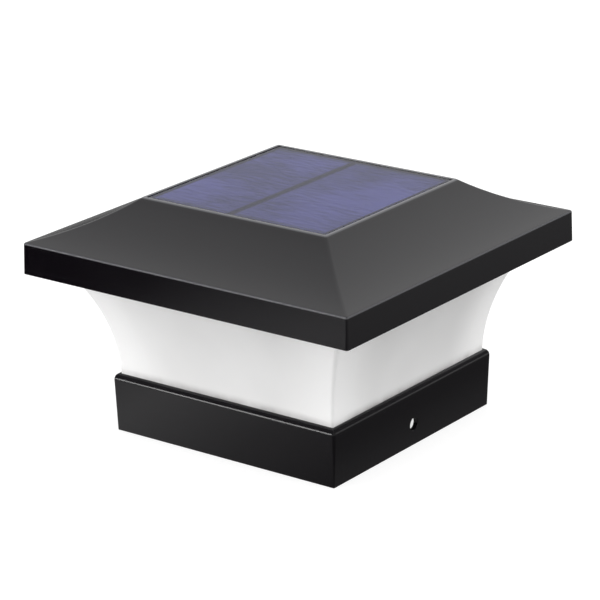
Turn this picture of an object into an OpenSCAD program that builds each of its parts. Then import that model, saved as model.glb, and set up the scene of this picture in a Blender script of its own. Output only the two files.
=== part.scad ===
// Deck post cap light: a square solar lamp that slips over the top of a deck post.
// Origin at the centre of the bottom rim, +Z up, millimetres.
// Plan shapes are square, so most sizes are given as full widths and used as halves.

/* [Post] */
// Width of the square post sleeve that the base slips over
post_w = 101.6; // [98:0.1:110]
// Free play between post and base wall, on each side
post_play = 0.5; // [0.2:0.1:1.5]
// Depth of the socket, from the bottom rim up to the post stops
socket_depth = 15.6; // [13:0.1:30]

/* [Base] */
// Thickness of the base wall at the bottom rim
base_wall = 1.76; // [1.5:0.02:3]
// How far each outer face leans out on its way up
base_lean = 0.88; // [0.2:0.02:1.5]
// Radius of the shoulder along the top edge
shoulder_r = 3.0; // [2.4:0.1:4]
// Height of the shoulder's start above the shelf that carries the lens
shoulder_rise = 0.9; // [0.3:0.1:2]
// Thickness of the collar round the foot of the lens
collar_t = 2.04; // [1.6:0.02:2.3]
// Width of the flat land along the top of the collar
collar_land = 0.25; // [0.15:0.05:0.5]
// Radius of the upright corners at the bottom rim
base_corner_r = 0.4; // [0.3:0.1:1.4]
// Thickness of the shelf inside the base
shelf_t = 2.4; // [2:0.1:4]
// Width of the square hand hole through the shelf
hand_hole_w = 72; // [60:1:76]
// Corner radius of the hand hole
hand_hole_r = 6; // [2:0.5:10]
// Height of the post-stop ribs under the shelf
stop_rib_h = 2.4; // [2.2:0.1:5]
// Thickness of the post-stop ribs
stop_rib_t = 1.8; // [1.2:0.1:3]
// Spacing of the post-stop ribs along each side
stop_rib_pitch = 26; // [18:1:30]
// Diameter of the side holes for the post screws
post_screw_d = 5.2; // [4:0.1:6]
// Height of the side holes above the bottom rim
post_screw_z = 8.9; // [6:0.1:10]

/* [Lens] */
// Free play between the foot of the lens and the collar
lens_play = 0.13; // [0.05:0.01:0.3]
// Wall thickness of the lens
lens_wall = 2.0; // [1.6:0.1:3]
// Height of the lens, from its foot to the underside of its top flange
lens_h = 49.6; // [40:0.1:54]
// Straight height at the foot before the wall flares out
lens_foot_h = 1.15; // [0.8:0.05:3]
// Radius of the flare
flare_r = 82; // [76:1:120]
// Thickness of the top flange
flange_t = 2.0; // [1.6:0.1:3]
// Width of the ledge turned inwards at the foot
foot_ledge_w = 9; // [8:0.1:12]
// Thickness of the ledge at the foot
foot_ledge_t = 2.2; // [1.8:0.1:4]

/* [Roof] */
// Width of the roof at its bottom rim
roof_w = 155; // [152:0.1:170]
// Draft of each rim face, from the bottom of the rim to its top
rim_draft = 0.4; // [0.1:0.05:0.8]
// Height of the rim, up to where the slope would meet its face
rim_h = 12.7; // [11:0.1:18]
// Height from the foot of the slope up to the lip
slope_rise = 15.8; // [13:0.1:22]
// Radius of the hollow slopes
slope_r = 93.4; // [80:0.1:160]
// Radius of the rim's top edge and upright corners
rim_edge_r = 0.7; // [0.4:0.1:1.6]
// Thickness of the roof's sloping wall
roof_wall = 2.2; // [1.8:0.1:3]
// Thickness of the rim wall beside the lens flange
rim_wall = 2.6; // [2.2:0.1:3]
// Width of the ledge in the rim that the lens gasket seals against
ledge_w = 1.8; // [1.4:0.1:2.6]
// How far the lens flange sits above the bottom of the rim
flange_inset = 2.4; // [1.5:0.1:4]
// Free play between the lens flange and the rim
flange_play = 0.3; // [0.15:0.05:0.5]
// Thickness of the lens gasket
gasket_t = 0.5; // [0.3:0.1:1.5]
// Thickness of the stiffening ribs under the slopes
roof_rib_t = 1.4; // [1:0.1:2.4]
// Height of the stiffening ribs
roof_rib_h = 4; // [2:0.5:5]
// Distance of the stiffening ribs from the middle of each side
roof_rib_x = 22; // [15:1:32]

/* [Solar panel] */
// Width of the square solar panel
panel_w = 84.8; // [80:0.1:88]
// Free play between the panel and its recess
panel_play = 0.5; // [0.3:0.1:1]
// Thickness of the lip round the recess
lip_t = 1.15; // [0.9:0.05:2]
// How far the face of the panel lies below the top of the lip
panel_inset = 0.25; // [0.1:0.05:2]
// Thickness of the clear resin cover
cover_t = 1.1; // [0.8:0.1:2]
// Thickness of the solar cells
cell_t = 0.3; // [0.2:0.05:0.5]
// Bare margin between the panel's edge and its cells
cell_margin = 1.8; // [1:0.1:4]
// Width of the gap between the two strips of cells
cell_gap = 1.6; // [0.8:0.1:4]
// How far that gap lies off the middle of the panel
cell_gap_x = -3.4; // [-8:0.1:8]
// Width of the metal ribbons along the ends of the cells
ribbon_w = 0.7; // [0.4:0.1:2]
// Thickness of the ribbons
ribbon_t = 0.15; // [0.1:0.05:0.3]
// Thickness of the panel's backing board
board_t = 1.2; // [0.8:0.1:2]
// Thickness of the adhesive foam frame under the panel
seal_t = 0.5; // [0.3:0.1:1]
// Width of that frame
seal_w = 8; // [4:0.5:12]
// Thickness of the floor and walls of the panel's well
well_t = 2.2; // [1.8:0.1:3]

/* [Lamp tray] */
// Thickness of the tray's plate
tray_t = 2.0; // [1.6:0.1:3]
// How far the tray reaches over the lens flange, on each side
tray_lap = 2.9; // [2:0.1:3.4]
// Height of the upstand round the tray
tray_edge_h = 4; // [1:0.5:6]
// Thickness of the tray's walls and of the battery box
tray_wall = 1.6; // [1.2:0.1:2.2]
// Spacing of the four tray screws
tray_screw_pitch = 106; // [100:0.5:110]
// Outer width of the ring-shaped lamp board
lamp_ring_w = 120; // [117:0.5:124]
// Width of the band of the lamp board
lamp_band_w = 14; // [12:0.5:17]
// Thickness of the lamp board
lamp_board_t = 1.2; // [0.8:0.1:2]
// Edge length of one lamp
lamp_w = 5.0; // [2.8:0.1:6]
// Height of one lamp
lamp_h = 1.6; // [0.8:0.1:2]
// Number of lamps along each side
lamps_per_side = 3; // [1:1:4]
// Spacing of the lamps along a side
lamp_pitch = 26; // [12:1:30]

/* [Battery] */
// Diameter of the rechargeable cell
cell_d = 14.5; // [10.5:0.1:14.6]
// Length of the rechargeable cell with its button
cell_l = 50.5; // [44:0.1:51]
// Height of the button on the cell
button_h = 1.3; // [1:0.1:2]
// Diameter of that button
button_d = 5.5; // [4:0.1:6]
// Free play round the cell in its box
cell_play = 0.3; // [0.2:0.05:0.6]
// Length of the squeezed contact spring
spring_l = 4.4; // [3:0.1:6]
// Diameter of the spring's wire
spring_wire = 0.7; // [0.5:0.1:0.9]
// Number of turns of the spring
spring_turns = 3; // [2:1:4]
// Thickness of the metal contacts
contact_t = 0.5; // [0.3:0.1:0.8]
// Width of the battery door
door_w = 22; // [20:0.5:26]
// Length of the battery door
door_l = 76; // [74:0.5:84]
// Thickness of the battery door
door_t = 1.8; // [1.4:0.1:3]
// Thickness of the seal under the battery door
door_seal_t = 0.5; // [0.3:0.1:1]

/* [Control board and switch] */
// Length of the control board
ctrl_l = 44; // [42:0.5:54]
// Width of the control board
ctrl_w = 20; // [16:0.5:22]
// Thickness of the control board
ctrl_t = 1.2; // [0.8:0.1:1.6]
// Distance of the control board's centre from the middle of the tray
ctrl_y = 27; // [25:0.5:30]
// Length of the slide switch's metal body
switch_l = 9.6; // [9.4:0.1:14]
// Width of the slide switch's metal body
switch_w = 5.2; // [4.8:0.1:8]
// Height of the slide switch's metal body
switch_h = 4.4; // [3.8:0.1:6]
// Travel of the knob from off to on
switch_travel = 3.0; // [2:0.1:3.2]
// Length of the knob along its travel
knob_l = 3.4; // [2.4:0.1:3.6]
// Width of the knob
knob_w = 2.4; // [1.8:0.1:3]
// How far the knob stands out under the tray
knob_out = 2.4; // [1:0.1:3]
// Running clearance round the knob
knob_play = 0.2; // [0.1:0.05:0.3]

/* [Fasteners and leads] */
// Diameter of the base screws
base_screw_d = 3.0; // [2.5:0.1:3.4]
// Diameter of all other screws
small_screw_d = 2.6; // [2:0.1:2.8]
// Head diameter of a screw, as a multiple of its thread
head_ratio = 1.8; // [1.6:0.05:1.9]
// Head height of a screw, as a multiple of its thread
head_rise = 0.55; // [0.4:0.05:0.65]
// Clearance between a screw and the hole that it bites into, on the radius
bite_gap = 0.05; // [0.02:0.01:0.1]
// Clearance between a screw and a hole that it passes through, on the radius
pass_gap = 0.3; // [0.15:0.05:0.4]
// Wall of the screw bosses
boss_wall = 1.7; // [1.3:0.1:2]
// Diameter of the insulated leads
lead_d = 1.4; // [1:0.1:1.8]

/* [Hidden] */
$fn = 72;
eps = 0.01;

// Allowances shared by all pieces
over = 1;
boss_gap = 0.4;
boss_sink = 0.1;
boss_cap = 0.7;
hole_spare = 0.3;

// Base: heights and half widths
socket_half = post_w / 2 + post_play;
base_bottom_half = socket_half + base_wall;
base_top_half = base_bottom_half + base_lean;
stop_z = socket_depth;
shelf_z = stop_z + stop_rib_h;
foot_z = shelf_z + shelf_t;
shoulder_z = foot_z + shoulder_rise;
collar_half = base_top_half - collar_t;
land_half = collar_half + collar_land;
collar_top_z = shoulder_z + sqrt(pow(shoulder_r, 2) - pow(land_half - base_top_half + shoulder_r, 2));
hand_half = hand_hole_w / 2;

// Lens: heights, and the half width of its foot
lens_foot_half = collar_half - lens_play;
flare_z = foot_z + lens_foot_h;
flange_z = foot_z + lens_h;
flange_top_z = flange_z + flange_t;
foot_screw_at = lens_foot_half - lens_wall - boss_r(base_screw_d) - boss_gap;
flange_corner_r = 1;

// Roof: heights, half widths and the arc of the slopes
rim_z = flange_z - flange_inset;
rim_bottom_half = roof_w / 2;
rim_top_half = rim_bottom_half - rim_draft;
slope_z = rim_z + rim_h;
lip_z = slope_z + slope_rise;
recess_half = panel_w / 2 + panel_play;
lip_half = recess_half + lip_t;
slope_c = arc_centre([rim_top_half, slope_z], [lip_half, lip_z], slope_r);
function slope_at(w, inset = 0) = slope_c[1] - sqrt(pow(slope_r + inset, 2) - pow(slope_c[0] - w, 2));
rim_inner_half = rim_bottom_half - rim_wall;
gasket_z = flange_top_z;
ledge_z = gasket_z + gasket_t;
cavity_half = rim_inner_half - ledge_w;
flange_half = rim_inner_half - flange_play;
gasket_margin = 0.2;
roof_rib_gap = 0.4;
// Centre of the small round along the rim's top edge, tangent to the face and to the slope
edge_cx = rim_top_half - rim_edge_r;
edge_cz = slope_at(edge_cx, rim_edge_r);
edge_tangent = [edge_cx, edge_cz] + (slope_c - [edge_cx, edge_cz]) * rim_edge_r / (slope_r + rim_edge_r);

// Flare of the lens: an arc from its foot up to a point just inside the heads of the lens screws
head_gap = 0.2;
flange_screw_at = cavity_half - boss_r(small_screw_d) + boss_sink;
flare_top_half = flange_screw_at - head_ratio * small_screw_d / 2 - head_gap;
flare_c = arc_centre([lens_foot_half, flare_z], [flare_top_half, flange_z], flare_r);
function lens_half(z, inset = 0) = flare_c[0] - sqrt(pow(flare_r + inset, 2) - pow(z - flare_c[1], 2));

// Solar panel: a stack of layers, counted down from the lip
cover_top_z = lip_z - panel_inset;
board_top_z = cover_top_z - cover_t;
board_z = board_top_z - board_t;
well_floor_z = board_z - seal_t;
well_under_z = well_floor_z - well_t;
well_half = recess_half + well_t;
hollow_top_z = slope_at(well_half - boss_sink, roof_wall);
cell_half = panel_w / 2 - cell_margin;
cell_gap_left = cell_gap_x - cell_gap / 2;
cell_gap_right = cell_gap_x + cell_gap / 2;
seal_margin = 1;
seal_half = panel_w / 2 - seal_margin;
ribbon_inset = 1.2;

// Tray: lies on the lens flange and is screwed to bosses under the roof
tray_z = flange_top_z;
tray_top_z = tray_z + tray_t;
tray_edge_z = tray_top_z + tray_edge_h;
tray_half = lens_half(flange_top_z, lens_wall) + tray_lap;
// Leg of the tray's cut corners, which keeps it clear of the bosses for the lens screws
tray_corner_gap = 1.0;
tray_corner_leg = 2 * (tray_half - flange_screw_at) + sqrt(2) * (boss_r(small_screw_d) + tray_corner_gap);
tray_screw_at = tray_screw_pitch / 2;
lamp_board_z = tray_z - lamp_board_t;
lamp_line = lamp_ring_w / 2 - lamp_band_w / 2;
ring_outer_r = 3;
ring_inner_r = 2;
lamp_window_d = lamp_w * 0.76;
lamp_dish = lamp_h * 0.2;

// Battery box: the cell lies along X between its two contacts
box_in_l = cell_l + spring_l + 2 * contact_t;
box_in_w = cell_d + 2 * cell_play;
cell_axis_z = tray_z + cell_play + cell_d / 2;
box_in_top_z = cell_axis_z + cell_d / 2 + cell_play;
spring_end_x = -box_in_l / 2 + contact_t;
cell_start_x = spring_end_x + spring_l;
button_end_x = cell_start_x + cell_l;
door_screw_at = box_in_l / 2 + tray_wall + small_screw_d / 2 + bite_gap + boss_gap;
door_seal_z = tray_z - door_seal_t;
door_z = door_seal_z - door_t;
door_seal_gap = 0.5;
door_seal_edge = tray_wall;
contact_w = cell_d * 0.7;
tab_drop = 4;
tab_z = box_in_top_z - tab_drop;
tab_w = 3;
tab_out = 2.4;
tab_play = 0.1;
spring_wide_r = cell_d * 0.3;
spring_narrow_r = cell_d * 0.16;
spring_gap = 0.1;
cell_edge_r = 0.8;
grip_pitch = 3;
grip_d = 1;
grip_l = door_w / 2;

// Control board: hangs the switch through a slot in the tray
switch_gap = 0.1;
ctrl_z = tray_top_z + switch_gap + switch_h;
ctrl_top_z = ctrl_z + ctrl_t;
ctrl_screw_inset = 4;
ctrl_screw_x = ctrl_l / 2 - ctrl_screw_inset;
switch_y = ctrl_y;
knob_lug = 0.7;
knob_lip = 0.4;
knob_foot_l = knob_l + 2 * knob_lug;
knob_foot_w = knob_w + 2 * knob_lip;
knob_foot_h = 1.0;
knob_groove_d = 0.5;
knob_groove_pitch = knob_l * 0.3;
switch_skin = 0.4;
switch_pocket_l = knob_foot_l + switch_travel + 2 * knob_play;
knob_slot_l = knob_l + switch_travel + 2 * knob_play;
knob_slot_w = knob_w + 2 * knob_play;

// Parts on the control board: places from the board's centre, and sizes
coil_at = [-4, -4.5, 0];
coil_r = 3;
coil_core_r = 2.4;
coil_flange_t = 0.8;
coil_h = 4;
chip_at = [5, -4, 0];
chip_size = [5, 4, 1.8];
capacitor_at = [12.5, 3.5, 0];
capacitor_d = 5;
capacitor_h = 6.5;
resistor_at = [[2, 4, 0], [6, 4, 0]];
resistor_size = [2, 1.2, 0.6];

// Screws: lengths from the joints that they close
base_screw_l = 12;
lens_screw_l = 9;
tray_screw_l = 10;
door_screw_l = 8;
board_screw_l = 5;
foot_hole_l = base_screw_l - shelf_t + hole_spare;
flange_hole_l = lens_screw_l - flange_t + hole_spare;
tray_hole_l = tray_screw_l - tray_t - lamp_board_t + hole_spare;
door_hole_l = door_screw_l - door_t - door_seal_t + hole_spare;
board_hole_l = board_screw_l - ctrl_t + hole_spare;
function boss_r(d) = d / 2 + bite_gap + boss_wall;
function head_h(d) = d * head_rise;

// Leads: holes and solder points
panel_lead_x = -12;
lamp_lead_inset = 3.5;
lamp_lead = [30, tray_screw_at - lamp_lead_inset];
lead_pair = 2.6;
lead_hole_d = 2 * lead_d + lead_pair;
pad_inset = 2;
panel_pull = [0, 0, 5];
cell_pad_inset = 3;
tab_pull = [16, 0, 0];
cell_pull = [0, 0, 9];
drive_pad_x = 10;
drive_pull = [0, 0, 9];
lamp_pull = [0, 0, 14];

// Centre of an arc of radius r that passes through a and b, on the right of the way from a to b
function arc_centre(a, b, r) =
    let (d = b - a, l = norm(d))
    (a + b) / 2 + [d[1], -d[0]] * sqrt(r * r - l * l / 4) / l;

// A point on a cubic curve that leaves a towards b and arrives at d from c
function curve(a, b, c, d, t) =
    a * pow(1 - t, 3) + b * 3 * t * pow(1 - t, 2) + c * 3 * t * t * (1 - t) + d * pow(t, 3);

// The offset v, with its X turned to the side that out names: -1 or 1
function outwards(v, out) = [out * v[0], v[1], v[2]];

// ---- Building blocks ----

// Square of the given half width, with round corners
module rounded_square(half, r) {
    square([2 * half, 2 * (half - r)], center = true);
    square([2 * (half - r), 2 * half], center = true);
    for (x = [-1, 1], y = [-1, 1]) {
        translate([x * (half - r), y * (half - r)]) circle(r = r);
    }
}

// Profile in X and Z, run along Y over both halves of the part
module run(half) {
    translate([0, half, 0]) rotate([90, 0, 0]) linear_extrude(2 * half) children();
}

// Solid that shows the same profile from the front and from the side, with mitred corners
module mitred(half) {
    intersection() {
        run(half) children();
        rotate([0, 0, 90]) run(half) children();
    }
}

// Square block whose faces lean from half width h0 at z0 to h1 at z1, with round corners
module leaning_block(h0, h1, z0, z1, corner_at) {
    for (turn = [0, 90]) rotate([0, 0, turn]) {
        run(corner_at) polygon([[-h0, z0], [h0, z0], [h1, z1], [-h1, z1]]);
    }
    for (x = [-1, 1], y = [-1, 1]) {
        translate([x * corner_at, y * corner_at, z0])
            cylinder(r1 = h0 - corner_at, r2 = h1 - corner_at, h = z1 - z0);
    }
}

// Both halves of a profile that is drawn for +X
module both_sides() {
    children();
    mirror([1, 0, 0]) children();
}

// The same thing at the four corners of a square
module at_corners(at) {
    for (x = [-1, 1], y = [-1, 1]) {
        translate([x * at, y * at, 0]) children();
    }
}

// Pan-head screw driven upwards: its head seats at z = 0 and hangs below
module pan_screw(d, l) {
    hd = d * head_ratio;
    hh = head_h(d);
    crown_r = hd * 0.7;
    recess_l = hd * 0.6;
    recess_w = hd * 0.14;
    recess_h = hh * 0.6;
    difference() {
        union() {
            cylinder(d = d, h = l - d / 2);
            translate([0, 0, l - d / 2]) cylinder(d1 = d, d2 = d / 3, h = d / 2);
            rotate_extrude() intersection() {
                translate([0, -hh]) square([hd / 2, hh]);
                translate([0, crown_r - hh]) circle(r = crown_r);
            }
        }
        for (turn = [0, 90]) rotate([0, 0, turn]) {
            translate([-recess_l / 2, -recess_w / 2, -hh - eps]) cube([recess_l, recess_w, recess_h]);
        }
    }
}

// Round tube of eight sides along a list of points, closed at both ends, which face along first and last
module tube(pts, r, first, last) {
    n = len(pts);
    sides = 8;
    across = [0.83, 0.55, 0.1];
    rings = [
        for (i = [0:n - 1])
            let (t = i == 0 ? first : i == n - 1 ? last : pts[i + 1] - pts[i - 1])
            let (u = cross(t, across))
            let (v = cross(t, u))
            for (k = [0:sides - 1])
                pts[i] + r * (u / norm(u) * cos(360 * k / sides) + v / norm(v) * sin(360 * k / sides))
    ];
    walls = [
        for (i = [0:n - 2], k = [0:sides - 1])
            let (a = i * sides + k, b = i * sides + (k + 1) % sides)
            each [[a, a + sides, b], [b, a + sides, b + sides]]
    ];
    start = [for (k = [1:sides - 2]) [0, k, k + 1]];
    top = (n - 1) * sides;
    end = [for (k = [1:sides - 2]) [top, top + k + 1, top + k]];
    polyhedron(rings, concat(walls, start, end), convexity = 4);
}

// Lead along one smooth curve from a to d
module lead(a, b, c, d) {
    steps = 10;
    tube([for (i = [0:steps]) curve(a, b, c, d, i / steps)], lead_d / 2, b - a, d - c);
}

// ---- Base ----

module base_skirt() {
    corner_at = base_bottom_half - base_corner_r;
    color("#1d1d20")
    difference() {
        union() {
            leaning_block(base_bottom_half, base_top_half, 0, shoulder_z, corner_at);
            // Rounded shoulder, mitred at the corners
            intersection() {
                mitred(base_top_half) both_sides() shoulder_profile();
                translate([0, 0, shoulder_z]) linear_extrude(shoulder_r)
                    rounded_square(base_top_half, base_top_half - corner_at);
            }
        }
        // Recess for the foot of the lens
        translate([0, 0, foot_z]) linear_extrude(2 * shoulder_r)
            square(2 * collar_half, center = true);
        // Socket for the post, with its stops left standing under the shelf
        difference() {
            translate([0, 0, -eps]) linear_extrude(shelf_z + eps) square(2 * socket_half, center = true);
            post_stops();
        }
        hand_hole(0);
        at_corners(foot_screw_at) {
            cylinder(r = base_screw_d / 2 + pass_gap, h = foot_z + eps);
        }
        for (x = [-1, 1]) {
            translate([x * base_bottom_half, 0, post_screw_z])
                rotate([0, 90, 0]) cylinder(d = post_screw_d, h = 4 * base_wall, center = true);
        }
    }
}

// Half of the shoulder's section: a bar with a round end, cut off at the collar's land
module shoulder_profile() {
    centre = base_top_half - shoulder_r;
    intersection() {
        union() {
            translate([centre, shoulder_z]) circle(r = shoulder_r);
            translate([0, shoulder_z - shoulder_r]) square([centre, 2 * shoulder_r]);
        }
        translate([0, shoulder_z]) square([base_top_half + over, collar_top_z - shoulder_z]);
    }
}

// Opening through the shelf, grown by extra on each side
module hand_hole(extra) {
    translate([0, 0, -eps]) linear_extrude(foot_z + 2 * eps)
        rounded_square(hand_half + extra, hand_hole_r + extra);
}

// Ribs and hand-hole rim under the shelf: the post's end meets their lower edges
module post_stops() {
    rib_l = socket_half - hand_half;
    intersection() {
        translate([0, 0, stop_z]) linear_extrude(shelf_z) square(4 * socket_half, center = true);
        union() {
            hand_hole(stop_rib_t);
            for (turn = [0:90:270], i = [-1:1]) rotate([0, 0, turn]) {
                translate([hand_half, i * stop_rib_pitch - stop_rib_t / 2, 0])
                    cube([rib_l + eps, stop_rib_t, shelf_z + eps]);
            }
        }
    }
}

module base_screws() {
    color("#b8b8bc") at_corners(foot_screw_at) {
        translate([0, 0, shelf_z]) pan_screw(base_screw_d, base_screw_l);
    }
}

// ---- Lens ----

module diffuser_lens() {
    color("#f2f2f0")
    difference() {
        union() {
            difference() {
                mitred(rim_bottom_half) both_sides() flare_profile(foot_z, flange_top_z, 0);
                mitred(rim_bottom_half) both_sides()
                    flare_profile(foot_z + foot_ledge_t, flange_top_z + over, lens_wall);
                translate([0, 0, foot_z - eps]) linear_extrude(foot_ledge_t + 2 * eps)
                    square(2 * (lens_foot_half - lens_wall - foot_ledge_w), center = true);
            }
            // Top flange
            translate([0, 0, flange_z]) linear_extrude(flange_t) difference() {
                rounded_square(flange_half, flange_corner_r);
                square(2 * lens_half(flange_z, lens_wall / 2), center = true);
            }
            // Bosses for the base screws
            at_corners(foot_screw_at) {
                translate([0, 0, foot_z]) cylinder(r = boss_r(base_screw_d), h = foot_hole_l + boss_cap);
            }
        }
        mitred(rim_bottom_half) both_sides() flare_profile(flange_z - over, flange_top_z + over, lens_wall);
        at_corners(foot_screw_at) {
            translate([0, 0, foot_z - eps])
                cylinder(r = base_screw_d / 2 + bite_gap, h = foot_hole_l + eps);
        }
        at_corners(flange_screw_at) {
            translate([0, 0, flange_z - eps])
                cylinder(r = small_screw_d / 2 + pass_gap, h = flange_t + 2 * eps);
        }
    }
}

// Half of the lens's section from z0 up to z1, bounded by the flare, inset by the wall
module flare_profile(z0, z1, inset) {
    reach = lens_half(z1, inset);
    foot = lens_half(flare_z, inset);
    low = max(z0, flare_z);
    if (z0 < flare_z) {
        translate([0, z0]) square([foot, flare_z - z0]);
    }
    difference() {
        translate([0, low]) square([reach, z1 - low]);
        translate(flare_c) circle(r = flare_r + inset, $fn = 360);
    }
}

module lens_gasket() {
    color("#2a2a2a") translate([0, 0, gasket_z]) linear_extrude(gasket_t) difference() {
        square(2 * flange_half, center = true);
        square(2 * (cavity_half + gasket_margin), center = true);
    }
}

module lens_screws() {
    color("#b8b8bc") at_corners(flange_screw_at) {
        translate([0, 0, flange_z]) pan_screw(small_screw_d, lens_screw_l);
    }
}

// ---- Roof ----

// Half of the roof's section above the rim, under the hollow slope drawn inwards by inset
module slope_profile(z0, half, top_z, inset) {
    difference() {
        translate([0, z0]) square([half, top_z - z0]);
        translate(slope_c) circle(r = slope_r + inset, $fn = 360);
    }
}

// Rim with its leaning faces, and the slopes above it, which reach down into the rim
module roof_outer() {
    leaning_block(rim_bottom_half, rim_top_half, rim_z, edge_cz, rim_top_half - rim_edge_r);
    intersection() {
        mitred(rim_bottom_half) both_sides() {
            slope_profile(edge_cz, edge_tangent[0], lip_z, 0);
            translate([0, edge_cz - over]) square([rim_top_half, over]);
            intersection() {
                translate([edge_cx, edge_cz]) circle(r = rim_edge_r);
                translate([0, edge_cz]) square([rim_top_half, rim_edge_r]);
            }
        }
        translate([0, 0, edge_cz - over]) linear_extrude(lip_z) rounded_square(rim_top_half, rim_edge_r);
    }
}

// Everything that stands inside the roof's hollow: panel well, bosses and ribs
module roof_inside() {
    translate([0, 0, well_under_z]) linear_extrude(lip_z - well_under_z)
        square(2 * well_half, center = true);
    at_corners(tray_screw_at) {
        translate([0, 0, tray_top_z]) cylinder(r = boss_r(small_screw_d), h = lip_z - tray_top_z);
    }
    at_corners(flange_screw_at) {
        translate([0, 0, flange_top_z]) cylinder(r = boss_r(small_screw_d), h = lip_z - flange_top_z);
    }
    for (turn = [0:90:270], x = [-1, 1]) rotate([0, 0, turn]) {
        translate([0, x * roof_rib_x, 0]) run(roof_rib_t / 2) roof_rib_profile();
    }
}

// Rib that follows the slope from the well's wall down to the rim
module roof_rib_profile() {
    intersection() {
        translate([well_half - over, tray_edge_z + roof_rib_gap])
            square([cavity_half - well_half + 2 * over, lip_z - tray_edge_z]);
        translate(slope_c) circle(r = slope_r + roof_wall + roof_rib_h, $fn = 360);
    }
}

module roof_shell() {
    color("#232326")
    difference() {
        roof_outer();
        difference() {
            union() {
                translate([0, 0, rim_z - eps]) linear_extrude(ledge_z - rim_z + eps)
                    square(2 * rim_inner_half, center = true);
                mitred(rim_bottom_half) both_sides()
                    slope_profile(ledge_z - eps, cavity_half, hollow_top_z, roof_wall);
            }
            roof_inside();
        }
        // Recess for the panel, and the hole for its leads
        translate([0, 0, well_floor_z]) linear_extrude(lip_z) square(2 * recess_half, center = true);
        translate([panel_lead_x, ctrl_y, well_under_z - eps])
            cylinder(d = lead_hole_d, h = well_t + 2 * eps);
        // Screw holes
        at_corners(tray_screw_at) {
            translate([0, 0, tray_top_z - eps])
                cylinder(r = small_screw_d / 2 + bite_gap, h = tray_hole_l + eps);
        }
        at_corners(flange_screw_at) {
            translate([0, 0, flange_top_z - eps])
                cylinder(r = small_screw_d / 2 + bite_gap, h = flange_hole_l + eps);
        }
    }
}

// ---- Solar panel ----

module panel_seal() {
    color("#333333") translate([0, 0, well_floor_z]) linear_extrude(seal_t) difference() {
        square(2 * seal_half, center = true);
        square(2 * (seal_half - seal_w), center = true);
    }
}

module panel_board() {
    color("#202428") translate([0, 0, board_z]) linear_extrude(board_t)
        square(panel_w, center = true);
}

// Strip of cells from x0 to x1, over the whole length of the panel
module cell_strip(x0, x1, t) {
    translate([x0, -cell_half, board_top_z]) cube([x1 - x0, 2 * cell_half, t]);
}

module solar_cell_left() {
    color("#5a5c86") cell_strip(-cell_half, cell_gap_left, cell_t);
}

module solar_cell_right() {
    color("#5a5c86") cell_strip(cell_gap_right, cell_half, cell_t);
}

// Ribbons on the ends of both strips
module cell_ribbons() {
    ribbon_z = board_top_z + cell_t;
    color("#c8ccd0") for (x = [[-cell_half, cell_gap_left], [cell_gap_right, cell_half]], y = [-1, 1]) {
        translate([x[0] + ribbon_inset, y * (cell_half - ribbon_inset) - ribbon_w / 2, ribbon_z])
            cube([x[1] - x[0] - 2 * ribbon_inset, ribbon_w, ribbon_t]);
    }
}

module panel_cover() {
    color("#a8b4d0", 0.35)
    difference() {
        translate([0, 0, board_top_z]) linear_extrude(cover_t) square(panel_w, center = true);
        solar_cell_left();
        solar_cell_right();
        cell_ribbons();
    }
}

// ---- Lamp tray ----

// Square with cut corners, drawn in from the tray's edge by inset
module tray_outline(inset) {
    half = tray_half - inset;
    across = sqrt(2) * (2 * tray_half - tray_corner_leg) - 2 * inset;
    intersection() {
        square(2 * half, center = true);
        rotate(45) square(across, center = true);
    }
}

module lamp_tray() {
    color("#f4f4f2")
    difference() {
        union() {
            translate([0, 0, tray_z]) linear_extrude(tray_t) tray_outline(0);
            translate([0, 0, tray_z]) linear_extrude(tray_edge_z - tray_z) difference() {
                tray_outline(0);
                tray_outline(tray_wall);
            }
            // Battery box and the bosses on its end walls for the door screws
            translate([0, 0, tray_z]) linear_extrude(box_in_top_z + tray_wall - tray_z)
                square([box_in_l + 2 * tray_wall, box_in_w + 2 * tray_wall], center = true);
            for (x = [-1, 1]) {
                translate([x * door_screw_at, 0, tray_z])
                    cylinder(r = boss_r(small_screw_d), h = door_hole_l + boss_cap);
                // Posts for the control board
                translate([x * ctrl_screw_x, ctrl_y, tray_z])
                    cylinder(r = boss_r(small_screw_d), h = ctrl_z - tray_z);
            }
        }
        translate([0, 0, tray_z - eps]) linear_extrude(box_in_top_z - tray_z + eps)
            square([box_in_l, box_in_w], center = true);
        for (x = [-1, 1]) {
            translate([x * door_screw_at, 0, tray_z - eps])
                cylinder(r = small_screw_d / 2 + bite_gap, h = door_hole_l + eps);
            translate([x * ctrl_screw_x, ctrl_y, ctrl_z - board_hole_l])
                cylinder(r = small_screw_d / 2 + bite_gap, h = board_hole_l + eps);
            // Slots for the contacts' tabs
            translate([x * (box_in_l + tray_wall) / 2, 0, tab_z])
                cube([tray_wall + 2 * over, tab_w + 2 * tab_play, contact_t + 2 * tab_play], center = true);
        }
        at_corners(tray_screw_at) {
            translate([0, 0, tray_z - eps]) cylinder(r = small_screw_d / 2 + pass_gap, h = tray_t + 2 * eps);
        }
        // Slot for the switch's knob, and hole for the lamp leads
        translate([-knob_l / 2 - knob_play, switch_y - knob_slot_w / 2, tray_z - eps])
            cube([knob_slot_l, knob_slot_w, tray_t + 2 * eps]);
        translate([lamp_lead[0], lamp_lead[1], tray_z - eps])
            cylinder(d = lead_hole_d, h = tray_t + 2 * eps);
    }
}

module tray_screws() {
    color("#b8b8bc") at_corners(tray_screw_at) {
        translate([0, 0, lamp_board_z]) pan_screw(small_screw_d, tray_screw_l);
    }
}

module lamp_board() {
    color("#f0f0ec") translate([0, 0, lamp_board_z]) linear_extrude(lamp_board_t) difference() {
        rounded_square(lamp_ring_w / 2, ring_outer_r);
        rounded_square(lamp_ring_w / 2 - lamp_band_w, ring_inner_r);
        for (x = [-1, 1], y = [-1, 1]) {
            translate([x, y] * tray_screw_at) circle(r = small_screw_d / 2 + pass_gap);
        }
    }
}

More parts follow.
